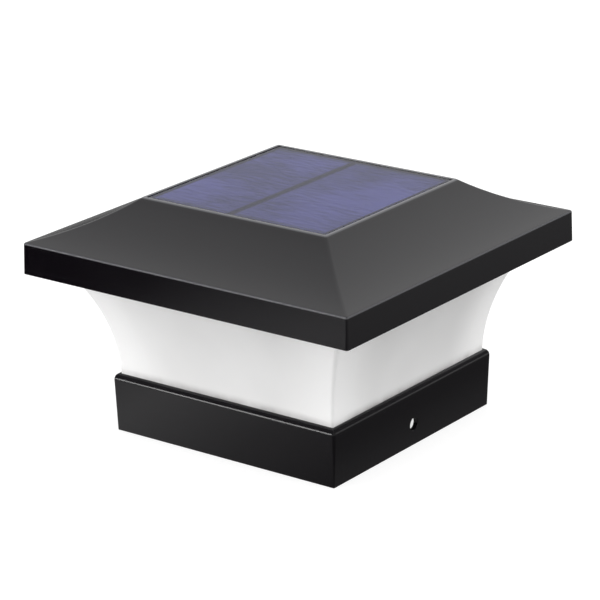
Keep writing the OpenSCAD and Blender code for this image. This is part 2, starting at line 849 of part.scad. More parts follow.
// One lamp: white body with a round window of phosphor, facing down
module lamp() {
    difference() {
        translate([0, 0, -lamp_h / 2]) cube([lamp_w, lamp_w, lamp_h], center = true);
        translate([0, 0, -lamp_h - eps])
            cylinder(d1 = lamp_window_d, d2 = lamp_window_d - 2 * lamp_dish, h = lamp_dish);
    }
}

module lamps() {
    first = -(lamps_per_side - 1) / 2 * lamp_pitch;
    color("#f6e9a8") for (turn = [0:90:270], i = [0:lamps_per_side - 1]) rotate([0, 0, turn]) {
        translate([lamp_line, first + i * lamp_pitch, lamp_board_z]) lamp();
    }
}

// ---- Control board and switch ----

module control_board() {
    color("#1f6b3a") translate([0, ctrl_y, ctrl_z]) linear_extrude(ctrl_t) difference() {
        square([ctrl_l, ctrl_w], center = true);
        for (x = [-1, 1]) {
            translate([x * ctrl_screw_x, 0]) circle(r = small_screw_d / 2 + pass_gap);
        }
    }
}

// Coil, driver chip, capacitor and two small resistors, standing on the board
module board_parts() {
    color("#3a3a3a") translate([0, ctrl_y, ctrl_top_z]) {
        translate(coil_at) rotate_extrude() coil_profile();
        translate(chip_at) linear_extrude(chip_size[2])
            square([chip_size[0], chip_size[1]], center = true);
        translate(capacitor_at) cylinder(d = capacitor_d, h = capacitor_h);
        for (at = resistor_at) translate(at) {
            linear_extrude(resistor_size[2]) square([resistor_size[0], resistor_size[1]], center = true);
        }
    }
}

// Spool section of the coil: two flanges with the winding between them
module coil_profile() {
    square([coil_r, coil_flange_t]);
    square([coil_core_r, coil_h]);
    translate([0, coil_h - coil_flange_t]) square([coil_r, coil_flange_t]);
}

module board_screws() {
    color("#b8b8bc") for (x = [-1, 1]) {
        translate([x * ctrl_screw_x, ctrl_y, ctrl_top_z]) rotate([180, 0, 0])
            pan_screw(small_screw_d, board_screw_l);
    }
}

// Metal body with a pocket for the knob's foot and a slot for its stem
module switch_body() {
    color("#c0c4c8") translate([switch_travel / 2, switch_y, ctrl_z - switch_h]) difference() {
        translate([0, 0, switch_h / 2]) cube([switch_l, switch_w, switch_h], center = true);
        translate([-switch_pocket_l / 2, -knob_foot_w / 2 - knob_play, switch_skin])
            cube([switch_pocket_l, knob_foot_w + 2 * knob_play, knob_foot_h + knob_play]);
        translate([-knob_slot_l / 2, -knob_slot_w / 2, -eps])
            cube([knob_slot_l, knob_slot_w, switch_skin + 2 * eps]);
    }
}

// Knob at rest in its off position; on is +X
module switch_knob() {
    foot_z0 = ctrl_z - switch_h + switch_skin + knob_play / 2;
    tip_z = tray_z - knob_out;
    color("#e04030") translate([0, switch_y, 0]) difference() {
        union() {
            translate([0, 0, foot_z0 + knob_foot_h / 2])
                cube([knob_foot_l, knob_foot_w, knob_foot_h], center = true);
            translate([-knob_l / 2, -knob_w / 2, tip_z]) cube([knob_l, knob_w, foot_z0 - tip_z + eps]);
        }
        // Finger grooves across the tip
        for (i = [-1:1]) {
            translate([i * knob_groove_pitch, 0, tip_z]) rotate([90, 0, 0])
                cylinder(d = knob_groove_d, h = knob_w + 2 * over, center = true);
        }
    }
}

// ---- Battery ----

module battery_cell() {
    color("#2f7d4f") translate([cell_start_x, 0, cell_axis_z]) rotate([0, 90, 0]) rotate_extrude()
        cell_profile();
}

// Half section of the cell, from its flat end up to its button
module cell_profile() {
    r = cell_d / 2;
    can = cell_l - button_h;
    square([r - cell_edge_r, can]);
    translate([0, cell_edge_r]) square([r, can - 2 * cell_edge_r]);
    for (z = [cell_edge_r, can - cell_edge_r]) {
        translate([r - cell_edge_r, z]) circle(r = cell_edge_r);
    }
    square([button_d / 2, cell_l]);
}

// Plate with a bent tab that passes out through the end of the box
module contact_plate() {
    translate([-contact_t, -contact_w / 2, cell_axis_z - contact_w / 2])
        cube([contact_t, contact_w, tab_z - cell_axis_z + contact_w / 2]);
    translate([-contact_t, -tab_w / 2, tab_z - contact_t / 2])
        cube([tray_wall + tab_out + contact_t, tab_w, contact_t]);
}

module spring_contact() {
    steps = 12;
    n = spring_turns * steps;
    r = spring_wire / 2;
    first_x = spring_end_x + r / 2;
    span = spring_l - 1.5 * r - spring_gap;
    color("#c9c9c4") {
        mirror([1, 0, 0]) translate([contact_t - spring_end_x, 0, 0]) contact_plate();
        pts = [
            for (i = [0:n])
                let (a = 360 * i / steps, w = spring_wide_r + (spring_narrow_r - spring_wide_r) * i / n)
                [first_x + span * i / n, w * cos(a), cell_axis_z + w * sin(a)]
        ];
        tube(pts, r, pts[1] - pts[0], pts[n] - pts[n - 1]);
    }
}

module button_contact() {
    color("#c9c9c4") translate([button_end_x + contact_t, 0, 0]) contact_plate();
}

module door_outline() {
    square([door_l - door_w, door_w], center = true);
    for (x = [-1, 1]) {
        translate([x * (door_l - door_w) / 2, 0]) circle(d = door_w);
    }
}

module door_seal() {
    color("#8a8a8a") translate([0, 0, door_seal_z]) linear_extrude(door_seal_t) difference() {
        square([box_in_l + 2 * door_seal_edge, box_in_w + 2 * door_seal_edge], center = true);
        square([box_in_l + 2 * door_seal_gap, box_in_w + 2 * door_seal_gap], center = true);
    }
}

module battery_door() {
    color("#ececea") difference() {
        translate([0, 0, door_z]) linear_extrude(door_t) door_outline();
        for (x = [-1, 1]) {
            translate([x * door_screw_at, 0, door_z - eps])
                cylinder(r = small_screw_d / 2 + pass_gap, h = door_t + 2 * eps);
        }
        // Finger grip across the middle
        for (i = [-2:2]) {
            translate([i * grip_pitch, 0, door_z]) rotate([90, 0, 0])
                cylinder(d = grip_d, h = grip_l, center = true);
        }
    }
}

module door_screws() {
    color("#b8b8bc") for (x = [-1, 1]) {
        translate([x * door_screw_at, 0, door_z]) pan_screw(small_screw_d, door_screw_l);
    }
}

// ---- Leads ----

// One pole's leads: panel to board, battery contact to board, board to lamp board
module pole_leads(side, contact_x) {
    off = side * lead_pair / 2;
    top = ctrl_top_z;
    back = ctrl_y + ctrl_w / 2 - pad_inset;
    panel_end = [panel_lead_x + off, ctrl_y, board_z];
    panel_pad = [panel_lead_x + off, ctrl_y + pad_inset, top];
    lead(panel_end, panel_end - panel_pull, panel_pad + panel_pull, panel_pad);
    tab_end = [contact_x, 0, tab_z];
    out = sign(contact_x);
    cell_pad = [out * (ctrl_l / 2 - cell_pad_inset), ctrl_y - ctrl_w / 2 + pad_inset, top];
    lead(tab_end, tab_end + outwards(tab_pull, out), cell_pad + outwards(cell_pull, out), cell_pad);
    lamp_pad = [lamp_lead[0] + off, lamp_lead[1], tray_z];
    drive_pad = [drive_pad_x + off, back, top];
    lead(drive_pad, drive_pad + drive_pull, lamp_pad + lamp_pull, lamp_pad);
}

module red_leads() {
    color("#c02020") pole_leads(1, button_end_x + contact_t + tray_wall + tab_out);
}

module black_leads() {
    color("#202020") pole_leads(-1, spring_end_x - contact_t - tray_wall - tab_out);
}

base_skirt();
base_screws();
diffuser_lens();
lens_gasket();
lens_screws();
roof_shell();
panel_seal();
panel_board();
solar_cell_left();
solar_cell_right();
cell_ribbons();
panel_cover();
lamp_tray();
tray_screws();
lamp_board();
lamps();
control_board();
board_parts();
board_screws();
switch_body();
switch_knob();
battery_cell();
spring_contact();
button_contact();
door_seal();
battery_door();
door_screws();
red_leads();
black_leads();
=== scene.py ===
import math
import bmesh
import bpy
from mathutils import Matrix, Vector


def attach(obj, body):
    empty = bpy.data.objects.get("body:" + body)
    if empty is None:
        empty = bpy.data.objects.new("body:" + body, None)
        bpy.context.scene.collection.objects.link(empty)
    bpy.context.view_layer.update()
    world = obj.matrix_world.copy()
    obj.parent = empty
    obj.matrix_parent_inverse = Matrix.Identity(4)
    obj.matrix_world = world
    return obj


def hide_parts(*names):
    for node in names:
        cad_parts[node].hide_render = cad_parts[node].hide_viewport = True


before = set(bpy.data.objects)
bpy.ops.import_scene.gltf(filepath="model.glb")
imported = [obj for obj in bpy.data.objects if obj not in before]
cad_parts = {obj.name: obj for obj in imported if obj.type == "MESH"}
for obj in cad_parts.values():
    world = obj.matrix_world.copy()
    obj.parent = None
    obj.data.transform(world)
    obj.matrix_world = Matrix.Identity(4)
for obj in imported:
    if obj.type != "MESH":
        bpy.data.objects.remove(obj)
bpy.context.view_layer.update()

# ---- Camera ----
# The light is seen from a little above, with its corner towards the viewer, through a long lens. Place, view
# and right-hand direction were worked out from the edges in the photograph, in metres.
eye = Vector((0.6327746, -0.8485195, 0.4188955))
sight = Vector((-0.5651878, 0.75637222, -0.32933843))
to_right = Vector((0.80403647, 0.59439792, -0.01471291))
to_top = to_right.cross(sight)
camera_data = bpy.data.cameras.new("camera")
camera_data.lens = 169.8236
camera_data.sensor_width = 36.0
camera_data.clip_end = 30.0
camera = bpy.data.objects.new("camera", camera_data)
bpy.context.scene.collection.objects.link(camera)
camera.matrix_world = Matrix.Translation(eye) @ Matrix((to_right, to_top, -sight)).transposed().to_4x4()
bpy.context.scene.camera = camera
bpy.context.scene.view_settings.view_transform = "Standard"

# ---- Nodes ----
# A value is a number, a vector, a colour or another node's output


def plug(socket, value):
    """Feeds an input from another node's output, or sets it to a plain value."""
    if isinstance(value, bpy.types.NodeSocket):
        socket.id_data.links.new(value, socket)
    elif socket.type == "RGBA":
        socket.default_value = (*value, 1.0)
    else:
        socket.default_value = value


def feed(node, **values):
    """Gives a node's inputs their values by name."""
    for label, value in values.items():
        plug(node.inputs[label.replace("_", " ")], value)


def fill(node, *values):
    """Gives a node's inputs their values in order, and returns its first output."""
    for socket, value in zip(node.inputs, values):
        plug(socket, value)
    return node.outputs[0]


def add_node(tree, kind, **settings):
    """A node of that kind. A setting is a property of the node, or the value of the input of that name."""
    node = tree.nodes.new(kind)
    for label, value in settings.items():
        if hasattr(node, label):
            setattr(node, label, value)
        else:
            feed(node, **{label: value})
    return node


def calc(tree, operation, *values, **settings):
    """Outcome of a sum."""
    return fill(add_node(tree, "ShaderNodeMath", operation=operation, **settings), *values)


def spread(tree, source, low, high, start=0.0, end=1.0, kind="LINEAR"):
    """Value that goes from low to high as the source goes from start to end."""
    span = add_node(tree, "ShaderNodeMapRange", interpolation_type=kind)
    return fill(span, source, start, end, low, high)


def rise(tree, source, start, end, kind="LINEAR"):
    """Mask that goes from 0 to 1 as the source goes from start to end."""
    return spread(tree, source, 0.0, 1.0, start, end, kind)


def blend(tree, mask, first, second, kind="RGBA"):
    """Colour or number that goes from the first to the second as the mask goes from 0 to 1."""
    mix = add_node(tree, "ShaderNodeMix", data_type=kind)
    at, result = {"FLOAT": (2, 0), "RGBA": (6, 2)}[kind]
    for number, value in ((0, mask), (at, first), (at + 1, second)):
        plug(mix.inputs[number], value)
    return mix.outputs[result]


def noise(tree, place, scale, detail, roughness):
    """Soft random pattern from 0 to 1."""
    settings = {"Vector": place, "Scale": scale, "Detail": detail, "Roughness": roughness}
    return add_node(tree, "ShaderNodeTexNoise", **settings).outputs[0]


def on_object(tree):
    """Place on the object, in metres."""
    return add_node(tree, "ShaderNodeTexCoord").outputs["Object"]


def axes_of(tree, vector):
    """Parts of a vector along X, Y and Z."""
    return add_node(tree, "ShaderNodeSeparateXYZ", Vector=vector).outputs


def bump(tree, height, distance, strength=1.0):
    """A height as the surface's relief. The distance is in millimetres."""
    relief = add_node(tree, "ShaderNodeBump", Strength=strength, Distance=distance * mm, Height=height)
    return relief.outputs[0]


# ---- Shapes ----
# Sizes are in millimetres from the middle of the bottom rim, as in the CAD. The meshes are in metres.
mm = 0.001


def evenly(first, last, cuts):
    """Values from first to last at equal distances."""
    return [first + (last - first) * cut / cuts for cut in range(cuts + 1)]


def corner(distance, height=0.0):
    """Point on the diagonal, where the parts have their corner screws."""
    return distance, distance, height


def arc_centre(a, b, radius):
    """Centre of the arc from a to b, on the right of the way between them."""
    across = b - a
    rise_of = math.sqrt(radius ** 2 - across.length_squared / 4)
    return (a + b) / 2 + Vector((across.y, -across.x)) * rise_of / across.length


def rectangle(low_x, high_x, low_y, high_y):
    """Outline of a rectangle, counter-clockwise."""
    return [(low_x, low_y), (high_x, low_y), (high_x, high_y), (low_x, high_y)]


def rounded_outline(half_x, half_y, radius, cuts=8):
    """Outline of a rectangle with round corners, counter-clockwise."""
    points = []
    for quarter in range(4):
        side_x = half_x if quarter in (0, 3) else -half_x
        side_y = half_y if quarter in (0, 1) else -half_y
        middle = Vector((side_x - math.copysign(radius, side_x), side_y - math.copysign(radius, side_y)))
        for cut in range(cuts + 1):
            angle = (quarter + cut / cuts) * math.pi / 2
            points.append(middle + radius * Vector((math.cos(angle), math.sin(angle))))
    return points


def moved(outline, x, y):
    """The outline in another place."""
    return [Vector((p[0] + x, p[1] + y)) for p in outline]


def raw_piece(name, bm):
    """A piece made of the mesh in bm as it is."""
    mesh = bpy.data.meshes.new(name)
    bm.to_mesh(mesh)
    bm.free()
    piece = bpy.data.objects.new(name, mesh)
    bpy.context.scene.collection.objects.link(piece)
    return piece


def new_piece(name, bm):
    """A piece made of the mesh in bm, with doubled points joined and all outsides facing outwards."""
    bmesh.ops.remove_doubles(bm, verts=bm.verts, dist=1e-7)
    bmesh.ops.dissolve_degenerate(bm, edges=bm.edges, dist=1e-7)
    bmesh.ops.recalc_face_normals(bm, faces=bm.faces)
    return raw_piece(name, bm)


def sew(bm, rows, closed=False):
    """Faces between rows of points. If closed, the last row is sewn to the first."""
    following = rows[1:] + rows[:1] if closed else rows[1:]
    for row, other in zip(rows, following):
        for k in range(len(row)):
            after = (k + 1) % len(row)
            bm.faces.new((row[k], row[after], other[after], other[k]))


def shell(name, rings, closed=False):
    """Skin over square rings of (half width, height, corner radius). If closed, the last joins the first."""
    bm = bmesh.new()
    rows = []
    for half, height, radius in rings:
        outline = rounded_outline(half, half, radius)
        rows.append([bm.verts.new(Vector((p.x, p.y, height)) * mm) for p in outline])
    sew(bm, rows, closed)
    if not closed:
        bm.faces.new(rows[0])
        bm.faces.new(rows[-1])
    return new_piece(name, bm)


def frame_piece(name, inner, outer, low, high, inner_corner, outer_corner, edge):
    """Flat square frame with rounded edges."""
    rings = [(outer - edge, low, outer_corner), (outer, low + edge, outer_corner)]
    rings += [(outer, high - edge, outer_corner), (outer - edge, high, outer_corner)]
    rings += [(inner + edge, high, inner_corner + edge), (inner, high - edge, inner_corner)]
    rings += [(inner, low + edge, inner_corner), (inner + edge, low, inner_corner + edge)]
    return shell(name, rings, closed=True)


def prism(name, outline, direction, edge=0.0):
    """Solid between an outline of points and its copy moved by direction, with its ends' edges rounded."""
    bm = bmesh.new()
    start = [bm.verts.new(Vector(p) * mm) for p in outline]
    end = [bm.verts.new((Vector(p) + Vector(direction)) * mm) for p in outline]
    ends = [bm.faces.new(start), bm.faces.new(end)]
    sew(bm, [start, end])
    if edge:
        rims = [line for face in ends for line in face.edges]
        bmesh.ops.bevel(bm, geom=rims, offset=edge * mm, segments=3, profile=0.5, affect="EDGES",
                        clamp_overlap=True)
    return new_piece(name, bm)


def slab(name, outline, low, high, edge=0.0):
    """Plate of a flat outline between two heights."""
    return prism(name, [(p[0], p[1], low) for p in outline], (0, 0, high - low), edge)


def block(name, middle, size, edge=0.0):
    """Rectangular tool or part round a middle point, with the edges of its ends rounded."""
    radius = min(0.12, size[0] / 4, size[1] / 4)
    outline = moved(rounded_outline(size[0] / 2, size[1] / 2, radius, 3), middle[0], middle[1])
    return slab(name, outline, middle[2] - size[2] / 2, middle[2] + size[2] / 2, edge)


def turned(name, profile, foot=(0, 0, 0), axis=(0, 0, 1), sides=32, closed=False):
    """Solid turned from (radius, distance along the axis). A closed profile joins its end to its start."""
    bm = bmesh.new()
    turn = Vector((0, 0, 1)).rotation_difference(Vector(axis)).to_matrix()
    rows = []
    for radius, along in profile:
        row = []
        for angle in evenly(0, 2 * math.pi, sides)[:-1]:
            point = Vector((radius * math.cos(angle), radius * math.sin(angle), along))
            row.append(bm.verts.new((turn @ point + Vector(foot)) * mm))
        rows.append(row)
    sew(bm, rows, closed)
    return new_piece(name, bm)


def bore(name, radius, low, high, foot, sides=24, axis=(0, 0, 1), tips=(0.0, 0.0)):
    """Round tool, with a cone of a given height at its lower and its upper end."""
    profile = [(0, low - tips[0]), (radius, low), (radius, high), (0, high + tips[1])]
    return turned(name, profile, foot, axis, sides)


def strand(name, points, radius, sides=10):
    """Round wire along points, closed at both ends, turning as little as it can on the way."""
    bm = bmesh.new()
    line = [Vector(p) for p in points]
    rows = []
    across = Vector((0.83, 0.55, 0.1))
    for k, point in enumerate(line):
        forward = (line[min(k + 1, len(line) - 1)] - line[max(k - 1, 0)]).normalized()
        across = (across - forward * across.dot(forward)).normalized()
        up = forward.cross(across)
        row = []
        for angle in evenly(0, 2 * math.pi, sides)[:-1]:
            out = across * math.cos(angle) + up * math.sin(angle)
            row.append(bm.verts.new((point + radius * out) * mm))
        rows.append(row)
    sew(bm, rows)
    bm.faces.new(rows[0])
    bm.faces.new(rows[-1])
    return new_piece(name, bm)


def merged(name, parts):
    """One piece out of several."""
    bm = bmesh.new()
    for part in parts:
        bm.from_mesh(part.data)
        bpy.data.objects.remove(part)
    return raw_piece(name, bm)


def settle(piece):
    """Turns a piece with its modifiers into a plain mesh."""
    graph = bpy.context.evaluated_depsgraph_get()
    mesh = bpy.data.meshes.new_from_object(piece.evaluated_get(graph))
    piece.modifiers.clear()
    piece.data = mesh
    mesh.name = piece.name


def carve(piece, tool, operation="DIFFERENCE"):
    """Cuts the tool out of the piece, or moulds it on."""
    step = piece.modifiers.new("carve", "BOOLEAN")
    step.object = tool
    step.operation = operation
    step.solver = "EXACT"
    step.use_self = True
    settle(piece)
    bpy.data.objects.remove(tool)


def smooth(piece, crease=32):
    """Smooth shading with creases, and flat faces that stay flat up to their rounded edges."""
    piece.data.shade_smooth()
    piece.data.set_sharp_from_angle(angle=math.radians(crease))
    step = piece.modifiers.new("flat_faces", "WEIGHTED_NORMAL")
    step.keep_sharp = True
    settle(piece)


# Repeats a piece along a row, and the row round the middle of the light
set_out_tree = bpy.data.node_groups.new("set_out", "GeometryNodeTree")
set_out_inputs = {}
for label, kind in (("Geometry", "Geometry"), ("Row Count", "Int"), ("Row Step", "Vector"), ("Turns", "Int"),
                    ("Finish", "Material")):
    socket = set_out_tree.interface.new_socket(label, in_out="INPUT", socket_type="NodeSocket" + kind)
    set_out_inputs[label] = socket.identifier
set_out_tree.interface.new_socket("Geometry", in_out="OUTPUT", socket_type="NodeSocketGeometry")
given = add_node(set_out_tree, "NodeGroupInput").outputs
half_row = calc(set_out_tree, "MULTIPLY", calc(set_out_tree, "SUBTRACT", given["Row Count"], 1.0), -0.5)
row_start = add_node(set_out_tree, "ShaderNodeVectorMath", operation="SCALE", Vector=given["Row Step"],
                     Scale=half_row).outputs[0]
row_line = add_node(set_out_tree, "GeometryNodeMeshLine", Count=given["Row Count"], Start_Location=row_start,
                    Offset=given["Row Step"]).outputs[0]
in_row = add_node(set_out_tree, "GeometryNodeInstanceOnPoints", Points=row_line,
                  Instance=given["Geometry"]).outputs[0]
hub = add_node(set_out_tree, "GeometryNodeMeshLine", Count=given["Turns"], Offset=(0.0, 0.0, 0.0)).outputs[0]
number = add_node(set_out_tree, "GeometryNodeInputIndex").outputs[0]
angle = calc(set_out_tree, "MULTIPLY", calc(set_out_tree, "DIVIDE", number, given["Turns"]), 2 * math.pi)
about_z = add_node(set_out_tree, "FunctionNodeAxisAngleToRotation", Axis=(0.0, 0.0, 1.0),
                   Angle=angle).outputs[0]
round_middle = add_node(set_out_tree, "GeometryNodeInstanceOnPoints", Points=hub, Instance=in_row,
                        Rotation=about_z).outputs[0]
real = fill(add_node(set_out_tree, "GeometryNodeRealizeInstances"), round_middle)
painted = add_node(set_out_tree, "GeometryNodeSetMaterial", Geometry=real,
                   Material=given["Finish"]).outputs[0]
plug(add_node(set_out_tree, "NodeGroupOutput").inputs[0], painted)


def set_out(piece, material, count=1, step=(0.0, 0.0, 0.0), turns=1):
    """Repeats the piece in its row and round the middle, in its material, as one plain mesh."""
    repeat = piece.modifiers.new("set_out", "NODES")
    repeat.node_group = set_out_tree
    repeat[set_out_inputs["Row Count"]] = count
    repeat[set_out_inputs["Row Step"]] = [float(s) * mm for s in step]
    repeat[set_out_inputs["Turns"]] = turns
    repeat[set_out_inputs["Finish"]] = material
    settle(piece)
    return piece


# ---- Surfaces ----


def texture_group(name, inputs, outputs):
    """An empty group of shader nodes, with its named inputs to read and its named outputs to feed."""
    group = bpy.data.node_groups.new(name, "ShaderNodeTree")
    for label, value in inputs.items():
        socket = group.interface.new_socket(label, in_out="INPUT", socket_type="NodeSocketFloat")
        socket.default_value = value
    for label in outputs:
        group.interface.new_socket(label, in_out="OUTPUT", socket_type="NodeSocketFloat")
    return group, add_node(group, "NodeGroupInput").outputs, add_node(group, "NodeGroupOutput").inputs


# Surface of a moulding: fine grain from the mould's steel, and slow clouds from how the plastic flowed
moulding, given, made = texture_group(
    "moulding", {"Grain Size": 1400.0, "Cloud Size": 14.0}, ["Grain", "Cloud"])
place = on_object(moulding)
plug(made["Grain"], noise(moulding, place, given["Grain Size"], 3.0, 0.6))
plug(made["Cloud"], noise(moulding, place, given["Cloud Size"], 2.0, 0.5))

# Thin film of dust and haze, with a painted sheen, on what faces the sky, broken up by noise
sky_dust_and_sheen, given, made = texture_group("sky_dust_and_sheen", {"Size": 60.0, "Patchiness": 0.25}, ["Film"])
facing = axes_of(sky_dust_and_sheen, add_node(sky_dust_and_sheen, "ShaderNodeNewGeometry").outputs["Normal"])
patches = noise(sky_dust_and_sheen, on_object(sky_dust_and_sheen), given["Size"], 4.0, 0.65)
left = calc(sky_dust_and_sheen, "SUBTRACT", 1.0, calc(sky_dust_and_sheen, "MULTIPLY", patches, given["Patchiness"]))
plug(made["Film"], calc(sky_dust_and_sheen, "MULTIPLY", rise(sky_dust_and_sheen, facing["Z"], 0.25, 0.85), left))

# Hairline scuffs from handling, in two directions
scuffs, given, made = texture_group("scuffs", {"Size": 30.0, "Threshold": 0.66}, ["Scuff"])
place = on_object(scuffs)
masks = []
for turn in (0.5, -1.1):
    stretched = add_node(scuffs, "ShaderNodeMapping", Vector=place, Rotation=(0.3, turn, turn * 2),
                         Scale=(1.0, 26.0, 26.0)).outputs[0]
    streak = noise(scuffs, stretched, given["Size"], 2.0, 0.5)
    masks.append(calc(scuffs, "GREATER_THAN", streak, given["Threshold"]))
plug(made["Scuff"], calc(scuffs, "MAXIMUM", *masks))

# Copper tracks under a board's solder mask: long lines with bends, made from the joints of an uneven bond
tracks, given, made = texture_group("tracks", {"Size": 160.0, "Width": 0.05}, ["Track"])
bond = add_node(tracks, "ShaderNodeTexBrick", offset=0.37, squash=1.6, Vector=on_object(tracks),
                Scale=given["Size"], Mortar_Size=given["Width"], Mortar_Smooth=0.2, Brick_Width=2.6,
                Row_Height=0.5)
plug(made["Track"], bond.outputs["Fac"])


def use_group(tree, group, **values):
    """Outputs of a group that is placed in a material with its own values."""
    return add_node(tree, "ShaderNodeGroup", node_tree=group, **values).outputs


def finish(name, **sockets):
    """A material with its Principled shader, whose plain values are set on its own sockets."""
    material = bpy.data.materials.new(name)
    material.use_nodes = True
    shader = material.node_tree.nodes["Principled BSDF"]
    feed(shader, **sockets)
    return material, material.node_tree, shader


def plain(name, sizes, colours, rough=None, relief=None, by=("Cloud", "Grain"), scuff=None, **sockets):
    """A material whose colour and roughness vary between two values, each by one mask of its surface.

    Sizes are the moulding's grain and clouds, relief is (distance, strength), scuff is (size, threshold).
    """
    material, tree, shader = finish(name, **sockets)
    masks = dict(use_group(tree, moulding, Grain_Size=sizes[0], Cloud_Size=sizes[1]).items())
    if scuff:
        masks["Scuff"] = use_group(tree, scuffs, Size=scuff[0], Threshold=scuff[1])["Scuff"]
    feed(shader, Base_Color=blend(tree, masks[by[0]], *colours))
    if rough:
        feed(shader, Roughness=spread(tree, masks[by[1]], *rough))
    if relief:
        feed(shader, Normal=bump(tree, masks["Grain"], *relief))
    return material


def solder_mask(name, over_board, over_track, size):
    """Glossy lacquer on a circuit board, which shows and follows the tracks under it."""
    material, tree, shader = finish(name, Specular_IOR_Level=0.5)
    surface = use_group(tree, moulding, Grain_Size=2500.0, Cloud_Size=60.0)
    track = use_group(tree, tracks, Size=size, Width=0.06)["Track"]
    feed(shader, Base_Color=blend(tree, track, over_board, over_track),
         Roughness=spread(tree, surface["Grain"], 0.25, 0.42), Normal=bump(tree, track, 0.035, 0.6))
    return material


def fit(piece, node, material, body="root", crease=32):
    """The piece is smoothed and stands for a CAD node, in its material, on its body."""
    if crease:
        smooth(piece, crease)
    piece.data.materials.clear()
    piece.data.materials.append(material)
    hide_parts(node)
    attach(piece, body)


def add_on(piece, material=None, crease=32):
    """The piece is smoothed and rides on the root beside the pieces that stand for CAD nodes."""
    if crease:
        smooth(piece, crease)
    if material:
        piece.data.materials.append(material)
    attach(piece, "root")


# ---- Roof shell ----
# One black ABS moulding: hollow slopes from an upright rim up to the thin lip round the panel, with the
# panel's well, screw bosses and stiffening ribs inside. It comes glossy from the mould, its edges rounded.
RIM_Z = 67.6
RIM_BOTTOM = 77.5
RIM_TOP = 77.1
RIM_EDGE = 0.7
SLOPE_Z = 80.3
LIP_Z = 96.1
RECESS = 42.9
LIP = 44.05
SLOPE_R = 93.4
SLOPE_CUTS = 18
ROOF_WALL = 2.2
MID_WALL = ROOF_WALL / 2
LEDGE_Z = 72.5
RIM_INNER = 74.9
HOLLOW = 73.1
WELL = 45.1
WELL_FLOOR = 93.05
WELL_UNDER = 90.85
RIB_OUTER = 73.6
RIB_INNER = 44.6
RIB_T = 1.4
RIB_H = 4.0
RIB_LOW = 78.4
RIB_APART = 44.0
FLANGE_SCREW = 70.15
TRAY_SCREW = 53.0
TRAY_TOP = 74.0
SMALL_BOSS = 3.05
BITE = 1.35
PASS = 1.6
PANEL_LEAD_X = -12
PANEL_LEAD_Y = 27
LEAD_HOLE = 2.7
slope_centre = arc_centre(Vector((RIM_TOP, SLOPE_Z)), Vector((LIP, LIP_Z)), SLOPE_R)


def slope_height(half, inset=0.0):
    """Height of the slope, drawn inwards by inset, at a half width."""
    return slope_centre.y - math.sqrt((SLOPE_R + inset) ** 2 - (slope_centre.x - half) ** 2)


def roof_boss(name, low, high, at):
    """Screw boss that hangs from the roof on the diagonal, with a bevelled end."""
    profile = [(0, low), (SMALL_BOSS - 0.2, low), (SMALL_BOSS, low + 0.2), (SMALL_BOSS, high), (0, high)]
    return turned(name, profile, corner(at))


# Glossy black ABS: grain, dust and painted sheen facing up, a few scuffs, painted highlights on lip and rim
# edges
black_abs, tree, shader = finish("black_abs", Specular_IOR_Level=0.46, IOR=1.5)
surface = use_group(tree, moulding, Grain_Size=1500.0, Cloud_Size=16.0)
dust_and_sheen = use_group(tree, sky_dust_and_sheen, Size=70.0, Patchiness=0.3)["Film"]
scuffed = use_group(tree, scuffs, Size=22.0, Threshold=0.70)["Scuff"]
# Faces turned up are lighter, by dust and by a painted sheen
colour = blend(tree, dust_and_sheen, (0.0026, 0.0017, 0.0030), (0.0072, 0.0064, 0.0082))
colour = blend(tree, spread(tree, scuffed, 0.0, 0.05), colour, (0.05, 0.05, 0.053))
place = axes_of(tree, on_object(tree))
# Painted highlight: pale lines along the lip and the rim's top edge, where a glint of light runs
on_lip = rise(tree, place["Z"], (LIP_Z - 0.5) * mm, (LIP_Z - 0.1) * mm)
outwards = calc(tree, "MAXIMUM", *[calc(tree, "ABSOLUTE", place[axis]) for axis in "XY"])
at_side = rise(tree, outwards, (RIM_TOP - 0.42) * mm, (RIM_TOP - 0.12) * mm)
at_top = rise(tree, place["Z"], (SLOPE_Z - 0.85) * mm, (SLOPE_Z - 0.45) * mm)
highlight_edges = calc(tree, "MAXIMUM", on_lip, calc(tree, "MULTIPLY", at_side, at_top))
painted_edge_highlight = calc(tree, "MULTIPLY", highlight_edges, spread(tree, dust_and_sheen, 0.75, 1.0))
feed(shader, Base_Color=blend(tree, painted_edge_highlight, colour, (0.13, 0.13, 0.14)),
     Roughness=spread(tree, surface["Cloud"], 0.14, 0.25), Normal=bump(tree, surface["Grain"], 0.02, 0.35))

rim_edge_x = RIM_TOP - RIM_EDGE
rim_edge_z = slope_height(rim_edge_x, RIM_EDGE)
towards_slope = math.atan2(slope_centre.y - rim_edge_z, slope_centre.x - rim_edge_x)
slope_foot_x = rim_edge_x + RIM_EDGE * math.cos(towards_slope)
roof_rings = [(RECESS, WELL_FLOOR, 0.4), (RECESS, LIP_Z - 0.3, 0.4), (RECESS + 0.06, LIP_Z - 0.1, 0.46)]
roof_rings += [(RECESS + 0.22, LIP_Z, 0.6), (LIP - 0.3, LIP_Z, 0.8), (LIP - 0.1, LIP_Z - 0.05, 0.9)]
roof_rings += [(half, slope_height(half), 0.9) for half in evenly(LIP + 0.12, slope_foot_x, SLOPE_CUTS)]
for angle in evenly(towards_slope, 0, 6)[1:]:
    half = rim_edge_x + RIM_EDGE * math.cos(angle)
    roof_rings.append((half, rim_edge_z + RIM_EDGE * math.sin(angle), 0.7))
roof_rings += [(RIM_BOTTOM, RIM_Z + 0.35, 1.1), (RIM_BOTTOM - 0.1, RIM_Z + 0.1, 1.0)]
roof_rings += [(RIM_BOTTOM - 0.35, RIM_Z, 0.8), (RIM_INNER + 0.25, RIM_Z, 0.7)]
roof_rings += [(RIM_INNER, RIM_Z + 0.25, 0.5), (RIM_INNER, LEDGE_Z, 0.5), (HOLLOW, LEDGE_Z, 0.5)]
